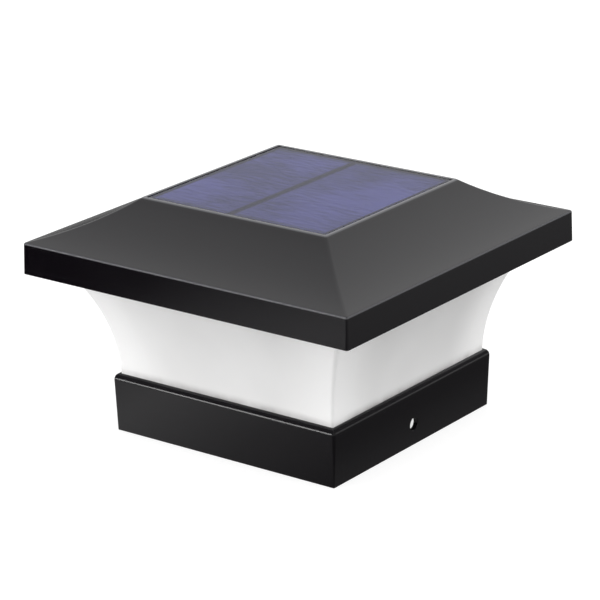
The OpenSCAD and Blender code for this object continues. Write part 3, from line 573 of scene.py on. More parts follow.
roof_rings += [(half, slope_height(half, ROOF_WALL), 0.5) for half in evenly(HOLLOW, WELL, 12)]
roof_rings.append((WELL, WELL_UNDER, 0.5))
roof = shell("roof", roof_rings)

# Ribs that follow the slope, two under each side, and the bosses for the tray's and the lens's screws
rib_line = [(half, -RIB_T / 2, slope_height(half, MID_WALL)) for half in evenly(RIB_OUTER, RIB_INNER, 12)]
for half in evenly(RIB_INNER, RIB_OUTER, 12):
    rib_line.append((half, -RIB_T / 2, max(RIB_LOW, slope_height(half, ROOF_WALL + RIB_H))))
roof_ribs = set_out(prism("roof_ribs", rib_line, (0, RIB_T, 0)), black_abs, 2, (0, RIB_APART, 0), 4)
bosses = [roof_boss("tray_boss", TRAY_TOP, 92.0, TRAY_SCREW),
          roof_boss("lens_boss", 72.0, 84.0, FLANGE_SCREW)]
roof_bosses = set_out(merged("roof_bosses", bosses), black_abs, turns=4)
under_skin = [(75.6, 71.0, 0.6)]
under_skin += [(half, slope_height(half, MID_WALL), 0.6) for half in evenly(75.6, 45.6, 16)]
carve(roof_bosses, shell("under_skin", under_skin), "INTERSECT")
carve(roof, merged("roof_inside", [roof_ribs, roof_bosses]), "UNION")
bites = [bore("tray_hole", BITE, 73.0, 81.1, corner(TRAY_SCREW), 20, tips=(0, 0.7)),
         bore("lens_hole", BITE, 71.0, 79.3, corner(FLANGE_SCREW), 20, tips=(0, 0.7))]
roof_holes = set_out(merged("roof_holes", bites), black_abs, turns=4)
lead_hole = bore("lead_hole", LEAD_HOLE, 89.0, 93.5, (PANEL_LEAD_X, PANEL_LEAD_Y, 0), 32)
carve(roof, merged("roof_cuts", [roof_holes, lead_hole]))
fit(roof, "roof_shell", black_abs)

# ---- Solar panel ----
# Two strips of blue crystalline cells on a dark backing board, joined by tinned ribbons and cast under clear
# resin. The panel is stuck into the roof's recess on a foam frame. Fine silver fingers run along each cell.
PANEL = 42.4
BOARD_Z = 93.55
CELL_Z = 94.75
COVER_TOP = 95.85
CELL_HALF = 40.6
CELL_TOP = 95.05
CELL_GAP = (-4.2, -2.6)
FINGER_INSET = 0.5
FINGER_COUNT = 50
FINGER_STEP = 1.6
RIBBON_AT = 39.4
RIBBON_INSET = 1.2
RIBBON_HALF = 0.35

foam = plain("foam", (2600.0, 90.0), ((0.018, 0.018, 0.02), (0.045, 0.045, 0.048)), (0.75, 1.0), (0.12, 0.8),
             Specular_IOR_Level=0.2)
panel_foam = frame_piece("panel_foam", 33.4, 41.4, WELL_FLOOR, BOARD_Z, 0.6, 0.8, 0.1)
fit(panel_foam, "panel_seal", foam)

backing = plain("backing", (900.0, 40.0), ((0.008, 0.009, 0.040), (0.012, 0.014, 0.060)), (0.45, 0.65),
                (0.03, 0.5), Specular_IOR_Level=0.0)
panel_backing = slab("panel_backing", rounded_outline(PANEL, PANEL, 0.5), BOARD_Z, CELL_Z, 0.1)
fit(panel_backing, "panel_board", backing)

# Silicon under its anti-reflection layer: blue to violet, in long soft streaks, with painted shade beside
# the gap
silicon, tree, shader = finish("silicon", Specular_IOR_Level=0.0, Roughness=0.6)
place = on_object(tree)
along_x = add_node(tree, "ShaderNodeMapping", Vector=place, Scale=(95.0, 600.0, 1.0)).outputs[0]
streaks = calc(tree, "ADD", noise(tree, along_x, 1.0, 2.0, 0.75), noise(tree, place, 28.0, 1.0, 0.4))
colour = blend(tree, rise(tree, streaks, 0.80, 1.16), (0.036, 0.040, 0.150), (0.094, 0.098, 0.335))
# Painted shade: the silicon darkens softly towards the gap between the two strips
from_gap = calc(tree, "SUBTRACT", axes_of(tree, place)["X"], (CELL_GAP[0] + CELL_GAP[1]) / 2 * mm)
shade_by_gap = rise(tree, calc(tree, "ABSOLUTE", from_gap), 2.6 * mm, 0.8 * mm, "SMOOTHSTEP")
feed(shader, Base_Color=blend(tree, shade_by_gap, colour, (0.010, 0.012, 0.055)))

fingers_paint = plain("finger_silver", (3000.0, 60.0), ((0.04, 0.05, 0.20), (0.09, 0.10, 0.30)),
                      Metallic=0.3, Roughness=0.5)
tinned = plain("tinned", (1800.0, 120.0), ((0.52, 0.53, 0.55), (0.72, 0.73, 0.75)), (0.28, 0.5), (0.03, 0.5),
               Metallic=1.0)
dull_ribbon = plain("dull_ribbon", (1800.0, 120.0), ((0.030, 0.035, 0.10), (0.07, 0.08, 0.16)), (0.4, 0.6),
                    Metallic=0.8)

ribbon_parts = []
for name, low_x, high_x, node in (("cells_left", -CELL_HALF, CELL_GAP[0], "solar_cell_left"),
                                  ("cells_right", CELL_GAP[1], CELL_HALF, "solar_cell_right")):
    strip = slab(name, rectangle(low_x, high_x, -CELL_HALF, CELL_HALF), CELL_Z, CELL_TOP, 0.04)
    fit(strip, node, silicon, crease=None)
    line = rectangle(low_x + FINGER_INSET, high_x - FINGER_INSET, -0.05, 0.05)
    fingers = slab(name + "_fingers", line, CELL_TOP - 0.01, CELL_TOP + 0.015)
    set_out(fingers, fingers_paint, FINGER_COUNT, (0, FINGER_STEP, 0))
    add_on(fingers, crease=None)
    for side in (-RIBBON_AT, RIBBON_AT):
        outline = rectangle(low_x + RIBBON_INSET, high_x - RIBBON_INSET, side - RIBBON_HALF,
                            side + RIBBON_HALF)
        ribbon_parts.append(slab("ribbon", outline, CELL_TOP, CELL_TOP + 0.15, 0.04))
fit(merged("ribbons", ribbon_parts), "cell_ribbons", dull_ribbon, crease=None)

# Clear resin, poured over the cells and the board: all of them are bedded in it, with no air between
resin, tree, shader = finish("resin", Base_Color=(0.93, 0.94, 1.0), Transmission_Weight=1.0, IOR=1.24)
cloud = use_group(tree, moulding, Grain_Size=500.0, Cloud_Size=30.0)["Cloud"]
feed(shader, Roughness=spread(tree, cloud, 0.04, 0.12), Normal=bump(tree, cloud, 0.02, 0.2))
resin_rings = [(PANEL - 0.02, CELL_Z - 0.02, 0.5), (PANEL, CELL_Z + 0.15, 0.5)]
resin_rings += [(PANEL, COVER_TOP - 0.2, 0.5), (PANEL - 0.06, COVER_TOP - 0.06, 0.5)]
resin_rings.append((PANEL - 0.2, COVER_TOP, 0.5))
fit(shell("panel_resin", resin_rings), "panel_cover", resin)

# ---- Diffuser lens ----
# Frosted white polypropylene, moulded in one piece: a square foot that stands in the base, hollow flared
# walls that meet in mitred corners, and a flange on top that is screwed up under the roof.
FOOT_Z = 20.4
LENS_FOOT = 51.77
FLARE_Z = 21.55
FLANGE_Z = 70.0
FLANGE_TOP = 72.0
FLARE_TOP = 67.61
FLARE_R = 82.0
FLARE_CUTS = 20
LENS_WALL = 2.0
FLANGE = 74.6
FOOT_LEDGE = 40.77
LEDGE_TOP = 22.6
FOOT_SCREW = 46.12
flare_centre = arc_centre(Vector((LENS_FOOT, FLARE_Z)), Vector((FLARE_TOP, FLANGE_Z)), FLARE_R)


def flare_half(height, inset=0.0):
    """Half width of the lens's wall at a height."""
    return flare_centre.x - math.sqrt((FLARE_R + inset) ** 2 - (height - flare_centre.y) ** 2)


lens_rings = [(LENS_FOOT - 0.2, FOOT_Z, 1.1), (LENS_FOOT, FOOT_Z + 0.2, 1.3)]
for cut, height in enumerate(evenly(FLARE_Z, FLANGE_Z - 0.5, FLARE_CUTS)):
    lens_rings.append((flare_half(height), height, 1.3 + 0.5 * cut / FLARE_CUTS))
lens_rings.append((flare_half(FLANGE_Z) + 0.12, FLANGE_Z - 0.12, 1.8))
lens_rings += [(flare_half(FLANGE_Z) + 0.6, FLANGE_Z, 1.8), (FLANGE - 0.2, FLANGE_Z, 1.0)]
lens_rings += [(FLANGE, FLANGE_Z + 0.2, 1.2), (FLANGE, FLANGE_TOP - 0.2, 1.2)]
lens_rings += [(FLANGE - 0.2, FLANGE_TOP, 1.0), (flare_half(FLANGE_TOP, LENS_WALL) + 0.2, FLANGE_TOP, 1.2)]
for height in evenly(FLANGE_TOP - 0.2, LEDGE_TOP, FLARE_CUTS):
    lens_rings.append((flare_half(height, LENS_WALL), height, 1.0))
lens_rings += [(FOOT_LEDGE + 0.2, LEDGE_TOP, 0.8), (FOOT_LEDGE, LEDGE_TOP - 0.2, 0.6)]
lens_rings += [(FOOT_LEDGE, FOOT_Z + 0.2, 0.6), (FOOT_LEDGE + 0.2, FOOT_Z, 0.8)]
lens = shell("lens", lens_rings, closed=True)

# Cloudy white with painted shade in patches by the collar and a gloss softened by the frosting.
# The daylight that the walls pass on is painted in as a weak glow, strongest towards the corners.
frosted, tree, shader = finish("frosted", Specular_IOR_Level=0.4, Emission_Strength=0.16)
surface = use_group(tree, moulding, Grain_Size=2200.0, Cloud_Size=22.0)
place = axes_of(tree, on_object(tree))
# Painted shade: the lens darkens in patches towards the collar that holds its foot
shade_by_collar = rise(tree, place["Z"], 27.6 * mm, 23.6 * mm, "SMOOTHSTEP")
patchy = spread(tree, use_group(tree, moulding, Cloud_Size=140.0)["Cloud"], 0.1, 1.0)
colour = blend(tree, surface["Cloud"], (0.79, 0.786, 0.782), (0.985, 0.982, 0.980))
colour = blend(tree, calc(tree, "MULTIPLY", shade_by_collar, patchy), colour, (0.30, 0.29, 0.28))
# Painted glow: emission, brightest towards the corners, stands in for daylight passed through the walls
sides = [calc(tree, "ABSOLUTE", place[axis]) for axis in "XY"]
ratio = calc(tree, "DIVIDE", calc(tree, "MINIMUM", *sides), calc(tree, "MAXIMUM", *sides))
corner_glow = rise(tree, ratio, 0.45, 1.0, "SMOOTHSTEP")
feed(shader, Base_Color=colour, Roughness=spread(tree, surface["Cloud"], 0.36, 0.50),
     Normal=bump(tree, surface["Grain"], 0.02, 0.3),
     Emission_Color=blend(tree, corner_glow, (0.15, 0.15, 0.15), (1.0, 1.0, 1.0)))

foot_boss = turned("foot_boss", [(0, FOOT_Z), (3.25, FOOT_Z), (3.25, 30.7), (2.95, 31.0), (0, 31.0)],
                   corner(FOOT_SCREW))
carve(lens, set_out(foot_boss, frosted, turns=4), "UNION")
lens_holes = [bore("foot_hole", 1.55, 19.0, 30.3, corner(FOOT_SCREW)),
              bore("flange_hole", PASS, 69.0, 73.0, corner(FLANGE_SCREW))]
carve(lens, set_out(merged("lens_holes", lens_holes), frosted, turns=4))
fit(lens, "diffuser_lens", frosted)

gasket = frame_piece("gasket", 73.3, FLANGE, FLANGE_TOP, LEDGE_Z, 0.6, 1.0, 0.12)
fit(gasket, "lens_gasket", foam)

# ---- Base skirt ----
# Black ABS socket that slips over the post: leaning walls, a rounded shoulder, a collar that holds the foot
# of the lens, and a shelf with a hand hole. Ribs under it stop the post. A screw goes in at each side.
BASE_BOTTOM = 53.06
BASE_TOP = 53.94
BASE_MIDDLE = (BASE_BOTTOM + BASE_TOP) / 2
CORNER_AT = 52.66
SOCKET = 51.3
SHOULDER_Z = 21.3
SHOULDER_R = 3.0
LAND = 52.15
COLLAR = 51.9
COLLAR_TOP = 24.045
SHELF_Z = 18.0
STOP_Z = 15.6
STOP_T = 1.8
STOP_APART = 26.0
HAND = 36.0
POST_SCREW_Z = 8.9

base_rings = [(BASE_BOTTOM - 0.2, 0.0, 0.2), (BASE_BOTTOM - 0.06, 0.06, 0.34), (BASE_BOTTOM, 0.2, 0.4)]
base_rings.append((BASE_MIDDLE, SHOULDER_Z / 2, BASE_MIDDLE - CORNER_AT))
shoulder_x = BASE_TOP - SHOULDER_R
for angle in evenly(0, math.acos((LAND - shoulder_x) / SHOULDER_R), 8):
    half = shoulder_x + SHOULDER_R * math.cos(angle)
    base_rings.append((half, SHOULDER_Z + SHOULDER_R * math.sin(angle), max(0.4, half - CORNER_AT)))
base_rings += [(COLLAR + 0.1, COLLAR_TOP, 0.5), (COLLAR, COLLAR_TOP - 0.12, 0.4), (COLLAR, FOOT_Z, 0.4)]
base_rings += [(HAND + 0.4, FOOT_Z, 6.4), (HAND + 0.1, FOOT_Z - 0.12, 6.1), (HAND, FOOT_Z - 0.4, 6.0)]
base_rings += [(HAND, STOP_Z + 0.3, 6.0), (HAND + 0.3, STOP_Z, 6.3), (HAND + 1.5, STOP_Z, 7.5)]
base_rings += [(HAND + 1.8, STOP_Z + 0.3, 7.8), (HAND + 1.8, SHELF_Z, 7.8), (SOCKET, SHELF_Z, 0.5)]
base_rings += [(SOCKET, 0.4, 0.5), (SOCKET + 0.12, 0.12, 0.5), (SOCKET + 0.4, 0.0, 0.6)]
base = shell("base", base_rings, closed=True)

rib_box = [(x, -STOP_T / 2, z) for x, z in rectangle(HAND + 0.5, SOCKET + 0.3, STOP_Z, SHELF_Z + 0.3)]
stop_ribs = set_out(prism("stop_ribs", rib_box, (0, STOP_T, 0)), black_abs, 3, (0, STOP_APART, 0), 4)
carve(base, stop_ribs, "UNION")
side_hole = turned("side_hole", [(0, 48), (2.6, 48), (2.6, 53.2), (3.0, 53.6), (3.0, 56), (0, 56)],
                   (0, 0, POST_SCREW_Z), (1, 0, 0), 40)
side_holes = set_out(side_hole, black_abs, turns=2)
shelf_holes = set_out(bore("shelf_hole", 1.8, 14, 22, corner(FOOT_SCREW)), black_abs, turns=4)
carve(base, merged("base_cuts", [side_holes, shelf_holes]))
fit(base, "base_skirt", black_abs)

# ---- Lamp tray ----
# White polypropylene moulding that closes the top of the lens: a plate with an upstand and cut corners that
# lies on the lens flange, with the battery box, its screw bosses and two posts for the control board.
TRAY_Z = 72.0
TRAY_EDGE = 78.0
TRAY_WALL = 1.6
TRAY_HALF = flare_half(FLANGE_TOP, LENS_WALL) + 2.9
TRAY_SLANT = 2 * FLANGE_SCREW - math.sqrt(2) * (SMALL_BOSS + 1.0)
BOSS_FOOT = 73.0
BELOW_TRAY = 71.0
ABOVE_TRAY = 75.0
BOX_L = 55.9
BOX_W = 15.1
BOX_TOP = 87.1
TAB_Z = 83.1
DOOR_SCREW = 31.3
BOARD_Y = 27.0
BOARD_SCREW = 18.0
BOARD_ROW = (2 * BOARD_SCREW, 0, 0)
CONTROL_Z = 78.5
SWITCH_X = 1.5
LAMP_LEAD = (30.0, 49.5)


def cut_square(inset):
    """Outline of the tray, a square with cut corners, drawn in by inset."""
    half = TRAY_HALF - inset
    short = TRAY_SLANT - math.sqrt(2) * inset - half
    points = []
    for quarter in range(4):
        turn = Matrix.Rotation(quarter * math.pi / 2, 2)
        points += [turn @ Vector((half, -short)), turn @ Vector((half, short))]
    return points


def tray_post(name, shoulder, top, foot):
    """Round post on the tray's plate, with a bevelled top."""
    profile = [(0, BOSS_FOOT), (SMALL_BOSS, BOSS_FOOT), (SMALL_BOSS, shoulder), (2.8, top), (0, top)]
    return turned(name, profile, foot)


white_pp, tree, shader = finish("white_pp", Specular_IOR_Level=0.4)
surface = use_group(tree, moulding, Grain_Size=1600.0, Cloud_Size=20.0)
scuffed = use_group(tree, scuffs, Size=18.0, Threshold=0.68)["Scuff"]
colour = blend(tree, surface["Cloud"], (0.74, 0.74, 0.73), (0.82, 0.82, 0.81))
feed(shader, Base_Color=blend(tree, spread(tree, scuffed, 0.0, 0.25), colour, (0.66, 0.66, 0.65)),
     Roughness=spread(tree, surface["Cloud"], 0.32, 0.48), Normal=bump(tree, surface["Grain"], 0.03, 0.4))

tray = slab("tray", cut_square(0), TRAY_Z, TRAY_EDGE, 0.3)
carve(tray, slab("tray_hollow", cut_square(TRAY_WALL), TRAY_TOP, 80.0))
box_outline = rounded_outline(BOX_L / 2 + TRAY_WALL, BOX_W / 2 + TRAY_WALL, 0.8)
carve(tray, slab("battery_box", box_outline, BOSS_FOOT, BOX_TOP + TRAY_WALL, 0.5), "UNION")
door_boss = set_out(tray_post("door_boss", 78.4, 78.7, (DOOR_SCREW, 0, 0)), white_pp, turns=2)
board_post = tray_post("board_post", CONTROL_Z - 0.25, CONTROL_Z, (0, BOARD_Y, 0))
set_out(board_post, white_pp, 2, BOARD_ROW)
carve(tray, merged("tray_bosses", [door_boss, board_post]), "UNION")
carve(tray, slab("box_inside", rounded_outline(BOX_L / 2, BOX_W / 2, 0.5), BELOW_TRAY, BOX_TOP))
tab_slot = block("tab_slot", ((BOX_L + TRAY_WALL) / 2, 0, TAB_Z), (3.6, 3.2, 0.7))
set_out(tab_slot, white_pp, turns=2)
door_bite = bore("door_bite", BITE, BELOW_TRAY, 77.8, (DOOR_SCREW, 0, 0), 20, tips=(0, 0.2))
set_out(door_bite, white_pp, turns=2)
post_bite = bore("post_bite", BITE, 74.6, 79.5, (0, BOARD_Y, 0), 20, tips=(0.2, 0))
set_out(post_bite, white_pp, 2, BOARD_ROW)
tray_pass = set_out(bore("tray_pass", PASS, BELOW_TRAY, ABOVE_TRAY, corner(TRAY_SCREW)), white_pp, turns=4)
lead_pass = bore("lead_pass", LEAD_HOLE, BELOW_TRAY, ABOVE_TRAY, (*LAMP_LEAD, 0), 32)
knob_slot = block("knob_slot", (SWITCH_X, BOARD_Y, 73.0), (6.8, 2.8, 4.0))
carve(tray, merged("tray_cuts", [tab_slot, door_bite, post_bite, tray_pass, lead_pass, knob_slot]))
fit(tray, "lamp_tray", white_pp)

# ---- Lamp board and lamps ----
# Ring-shaped board in white solder mask, held under the tray by the tray's screws, with three lamps soldered
# along each side: white bodies with a round window of yellow phosphor gel, shining down into the lens.
LAMP_RING_Z = 70.8
LAMP_LINE = 53.0
LAMP_ROW = (0, 26, 0)

white_mask = solder_mask("white_mask", (0.78, 0.79, 0.77), (0.66, 0.67, 0.64), 95.0)
lamp_ring = frame_piece("lamp_ring", 46.0, 60.0, LAMP_RING_Z, TRAY_Z, 2.0, 3.0, 0.06)
carve(lamp_ring, set_out(bore("ring_hole", PASS, 70.0, 73.0, corner(TRAY_SCREW)), white_mask, turns=4))
fit(lamp_ring, "lamp_board", white_mask)

lamp_white = plain("lamp_white", (3200.0, 200.0), ((0.80, 0.80, 0.78), (0.86, 0.86, 0.85)), (0.25, 0.4),
                   Specular_IOR_Level=0.45)
lamp_outline = moved(rounded_outline(2.5, 2.5, 0.3, 4), LAMP_LINE, 0)
lamp_bodies = slab("lamp_bodies", lamp_outline, 69.2, LAMP_RING_Z, 0.12)
window = turned("window", [(0, 69.0), (1.93, 69.0), (1.6, 69.52), (0, 69.52)], (LAMP_LINE, 0, 0), sides=28)
carve(lamp_bodies, window)
smooth(lamp_bodies)
set_out(lamp_bodies, lamp_white, 3, LAMP_ROW, 4)
fit(lamp_bodies, "lamps", lamp_white, crease=None)

phosphor = plain("phosphor", (6000.0, 500.0), ((0.72, 0.50, 0.06), (0.86, 0.68, 0.16)), (0.3, 0.5),
                 by=("Grain", "Cloud"), Coat_Weight=0.6, Coat_Roughness=0.1)
gel_profile = [(0, 69.36), (0.9, 69.37), (1.5, 69.41), (1.69, 69.46), (1.62, 69.6), (0, 69.6)]
lamp_gel = turned("lamp_gel", gel_profile, (LAMP_LINE, 0, 0), sides=24)
smooth(lamp_gel)
add_on(set_out(lamp_gel, phosphor, 3, LAMP_ROW, 4), crease=None)

pad_pair = [block("pad", (LAMP_LINE, side * 2.75, 70.78), (2.6, 1.1, 0.08), 0.02) for side in (-1, 1)]
lamp_pads = set_out(merged("lamp_pads", pad_pair), tinned, 3, LAMP_ROW, 4)
add_on(lamp_pads)

# ---- Control board ----
# Small green circuit board on two posts of the tray. It charges the cell by day and drives the lamps at
# night. On it stand a coil, a driver chip, a capacitor and two resistors, all soldered.
CONTROL_TOP = 79.7
COIL_AT = (-4.0, 22.5, CONTROL_TOP)
COIL_TURNS = 8
WIRE_STEP = 0.3
CAPACITOR_AT = (12.5, 30.5, CONTROL_TOP)
CHIP_X = 5.0
CHIP_Y = 23.0
RESISTOR_Y = 31.0
RESISTORS = (2.0, 6.0)

green_mask = solder_mask("green_mask", (0.008, 0.085, 0.030), (0.020, 0.165, 0.060), 210.0)
control = slab("control", moved(rounded_outline(22, 10, 0.6), 0, BOARD_Y), CONTROL_Z, CONTROL_TOP, 0.06)
control_hole = bore("control_hole", PASS, 77.0, 81.0, (0, BOARD_Y, 0))
carve(control, set_out(control_hole, green_mask, 2, BOARD_ROW))
fit(control, "control_board", green_mask)

# Coil's ferrite spool, the chip and the resistors: dark, matt and slightly speckled
ferrite = plain("ferrite", (4200.0, 300.0), ((0.012, 0.012, 0.013), (0.045, 0.045, 0.047)), (0.4, 0.65),
                (0.02, 0.5), by=("Grain", "Cloud"), Specular_IOR_Level=0.4)
spool_profile = [(0, 0), (2.85, 0), (3.0, 0.12), (3.0, 0.68), (2.88, 0.8), (2.0, 0.8), (2.0, 3.2)]
spool_profile += [(2.88, 3.2), (3.0, 3.32), (3.0, 3.88), (2.85, 4.0), (0, 4.0)]
chip = block("chip", (CHIP_X, CHIP_Y, CONTROL_TOP + 0.9), (5.0, 4.0, 1.8), 0.15)
carve(chip, bore("chip_dimple", 0.35, 81.4, 82.0, (3.3, 21.8, 0), 16))
resistors = []
for x in RESISTORS:
    resistors.append(block("resistor", (x, RESISTOR_Y, CONTROL_TOP + 0.31), (1.3, 1.18, 0.56), 0.05))
dark_parts = merged("dark_parts", [turned("spool", spool_profile, COIL_AT), chip, *resistors])
fit(dark_parts, "board_parts", ferrite)

# Enamelled winding of the coil: turns of copper wire lying side by side
enamel = plain("enamel", (3000.0, 400.0), ((0.42, 0.14, 0.04), (0.62, 0.24, 0.08)), (0.25, 0.4),
               Metallic=0.9, Coat_Weight=0.8, Coat_Roughness=0.15)
winding_profile = [(1.9, 0.8)]
for turn in range(COIL_TURNS):
    for radius, along in ((2.62, 0.04), (2.76, 0.15), (2.62, 0.26)):
        winding_profile.append((radius, 0.8 + WIRE_STEP * turn + along))
winding_profile.append((1.9, 3.2))
add_on(turned("winding", winding_profile, COIL_AT, sides=40, closed=True), enamel, crease=60)

# Sleeve of the electrolytic capacitor, with its pale stripe, and the can that shows at its top
sleeve, tree, shader = finish("sleeve", Specular_IOR_Level=0.5)
cloud = use_group(tree, moulding, Grain_Size=1800.0, Cloud_Size=200.0)["Cloud"]
stripe = calc(tree, "LESS_THAN", axes_of(tree, on_object(tree))["X"], 10.5 * mm)
feed(shader, Base_Color=blend(tree, stripe, (0.010, 0.014, 0.060), (0.42, 0.43, 0.46)),
     Roughness=spread(tree, cloud, 0.2, 0.35))
sleeve_profile = [(2.1, 0.0), (2.35, 0.02), (2.5, 0.2), (2.5, 0.9), (2.36, 1.05), (2.36, 1.2), (2.5, 1.35)]
sleeve_profile += [(2.5, 6.3), (2.3, 6.48), (2.0, 6.48), (2.0, 6.3)]
capacitor_sleeve = turned("capacitor_sleeve", sleeve_profile, CAPACITOR_AT, closed=True)
fit(capacitor_sleeve, "board_parts", sleeve)

can_end = [(0, 0.1), (2.2, 0.1), (2.2, 6.3), (1.8, 6.42), (0.35, 6.42), (0.3, 6.3), (0, 6.3)]
part_ends = [turned("can", can_end, CAPACITOR_AT)]
for side in (-1, 1):
    for x in RESISTORS:
        middle = (x + side * 0.79, RESISTOR_Y, CONTROL_TOP + 0.3)
        part_ends.append(block("cap", middle, (0.4, 1.2, 0.6), 0.06))
    for x in (3.1, 4.37, 5.63, 6.9):
        middle = (x, CHIP_Y + side * 2.45, CONTROL_TOP + 0.12)
        part_ends.append(block("foot", middle, (0.45, 1.1, 0.2), 0.04))
add_on(merged("part_ends", part_ends), tinned)

# ---- Slide switch ----
# Switches the light on and off: a folded body of plated steel, soldered under the control board, whose
# grooved plastic knob reaches down through a slot in the tray and slides 3 mm along X, from off to on.
plated = plain("plated", (1200.0, 90.0), ((0.55, 0.56, 0.57), (0.70, 0.71, 0.72)), (0.24, 0.42), (0.02, 0.4),
               by=("Cloud", "Scuff"), scuff=(60.0, 0.62), Metallic=1.0)
switch_outline = moved(rounded_outline(4.8, 2.6, 0.35, 4), SWITCH_X, BOARD_Y)
switch_can = slab("switch_can", switch_outline, 74.1, CONTROL_Z, 0.2)
carve(switch_can, block("stem_slot", (SWITCH_X, BOARD_Y, 74.0), (6.8, 2.8, 1.2)))
carve(switch_can, block("foot_pocket", (SWITCH_X, BOARD_Y, 75.1), (8.2, 3.6, 1.2)))
seams = [block("seam", (SWITCH_X + side * 3.6, BOARD_Y - 2.6, 76.4), (0.12, 0.2, 3.6)) for side in (-1, 1)]
carve(switch_can, merged("seams", seams))
fit(switch_can, "switch_body", plated)

knob_red = plain("knob_red", (2400.0, 300.0), ((0.50, 0.045, 0.030), (0.64, 0.070, 0.045)), (0.3, 0.45),
                 (0.02, 0.4), Specular_IOR_Level=0.45)
slider = block("slider", (0, BOARD_Y, 75.1), (4.8, 3.2, 1.0), 0.1)
carve(slider, block("stem", (0, BOARD_Y, 72.3), (3.4, 2.4, 5.4), 0.15), "UNION")
groove = bore("groove", 0.25, -2.0, 2.0, (0, BOARD_Y, 69.6), 16, (0, 1, 0))
carve(slider, set_out(groove, knob_red, 3, (1.02, 0, 0)))
fit(slider, "switch_knob", knob_red, "switch_knob")

# ---- Battery and its contacts ----
# One rechargeable AA cell in a printed shrink sleeve over its nickel-plated can. It is pressed against a
# flat contact at its button by a conical spring at its other end. Tabs of both pass out of the box.
CELL_AXIS = 79.55
CELL_FOOT = (-23.05, 0, CELL_AXIS)
PLATE_AT = 27.7
SPRING_TURNS = 3
SPRING_START = -27.27
SPRING_L = 3.77
SPRING_WIDE = 4.35
SPRING_NARROW = 2.32

wrap, tree, shader = finish("wrap", Specular_IOR_Level=0.5, Coat_Weight=0.3, Coat_Roughness=0.08)
surface = use_group(tree, moulding, Grain_Size=900.0, Cloud_Size=70.0)
scuffed = use_group(tree, scuffs, Size=30.0, Threshold=0.64)["Scuff"]
band = calc(tree, "GREATER_THAN", axes_of(tree, on_object(tree))["X"], 17.0 * mm)
colour = blend(tree, band, (0.012, 0.150, 0.055), (0.55, 0.57, 0.56))
feed(shader, Base_Color=blend(tree, spread(tree, scuffed, 0.0, 0.3), colour, (0.30, 0.36, 0.31)),
     Roughness=spread(tree, surface["Cloud"], 0.22, 0.36))
wrap_profile = [(6.0, 0.02), (6.9, 0.03), (7.14, 0.16), (7.25, 0.45), (7.25, 48.75), (7.14, 49.04)]
wrap_profile += [(6.9, 49.17), (5.6, 49.18), (5.6, 49.08), (6.8, 49.0), (7.1, 48.6), (7.1, 0.6), (6.8, 0.14)]
cell_wrap = turned("cell_wrap", wrap_profile, CELL_FOOT, (1, 0, 0), 56, closed=True)
fit(cell_wrap, "battery_cell", wrap)
can_profile = [(0, 0.1), (3.2, 0.1), (3.5, 0.06), (6.6, 0.06), (7.05, 0.5), (7.05, 48.6), (6.6, 49.02)]
can_profile += [(3.5, 49.04), (2.75, 49.2), (2.75, 50.2), (2.65, 50.42), (2.4, 50.5), (0, 50.5)]
fit(turned("cell_can", can_profile, CELL_FOOT, (1, 0, 0), 56), "battery_cell", plated)


def contact_plate(name, side):
    """Plated plate at one end of the box, with the tab that is bent out of it."""
    plate = block(name, (side * PLATE_AT, 0, 78.7875), (0.5, 10.15, 8.625), 0.08)
    carve(plate, block("tab", (side * (PLATE_AT + 2), 0, TAB_Z), (4.5, 3.0, 0.5), 0.08), "UNION")
    return plate


spring_line = []
for share in evenly(0, 1, 20 * SPRING_TURNS):
    radius = SPRING_WIDE - (SPRING_WIDE - SPRING_NARROW) * share
    angle = 2 * math.pi * SPRING_TURNS * share
    spring_line.append((SPRING_START + SPRING_L * share, radius * math.cos(angle),
                        CELL_AXIS + radius * math.sin(angle)))
spring = merged("spring", [contact_plate("spring_plate", -1), strand("coil", spring_line, 0.35)])
fit(spring, "spring_contact", plated)
fit(contact_plate("button_plate", 1), "button_contact", plated)

# ---- Battery door ----
# Rounded lid of the same white plastic under the battery box, with finger grooves across its middle. It is
# pressed on a thin grey rubber seal by a screw at each end, so it stays shut and keeps the damp out.
DOOR_Z = 69.7
DOOR_TOP = 71.5

door = slab("door", rounded_outline(38, 11, 10.98, 16), DOOR_Z, DOOR_TOP, 0.3)
door_hole = bore("door_hole", PASS, 69.0, 72.0, (DOOR_SCREW, 0, 0))
carve(door, set_out(door_hole, white_pp, turns=2))
grip = bore("grip", 0.5, -5.5, 5.5, (0, 0, DOOR_Z), 20, (0, 1, 0))
carve(door, set_out(grip, white_pp, 5, (3, 0, 0)))
fit(door, "battery_door", white_pp)

rubber = plain("rubber", (3000.0, 80.0), ((0.16, 0.16, 0.165), (0.24, 0.24, 0.245)), (0.6, 0.85),
               (0.05, 0.5), Specular_IOR_Level=0.3)
seal = slab("seal", rounded_outline(29.55, 9.15, 0.5), DOOR_TOP, TRAY_Z, 0.1)
carve(seal, slab("seal_inside", rounded_outline(28.45, 8.05, 0.4), BELOW_TRAY, 72.5))
fit(seal, "door_seal", rubber)

# ---- Screws ----
# Zinc-plated pan-head screws with a cross recess and a coarse thread that cuts its own way into the bosses.
# All are driven upwards, except the two that hold the control board, which go down into its posts.
zinc = plain("zinc", (1400.0, 150.0), ((0.56, 0.57, 0.60), (0.72, 0.73, 0.76)), (0.26, 0.45), (0.02, 0.4),
             by=("Cloud", "Scuff"), scuff=(90.0, 0.6), Metallic=1.0)


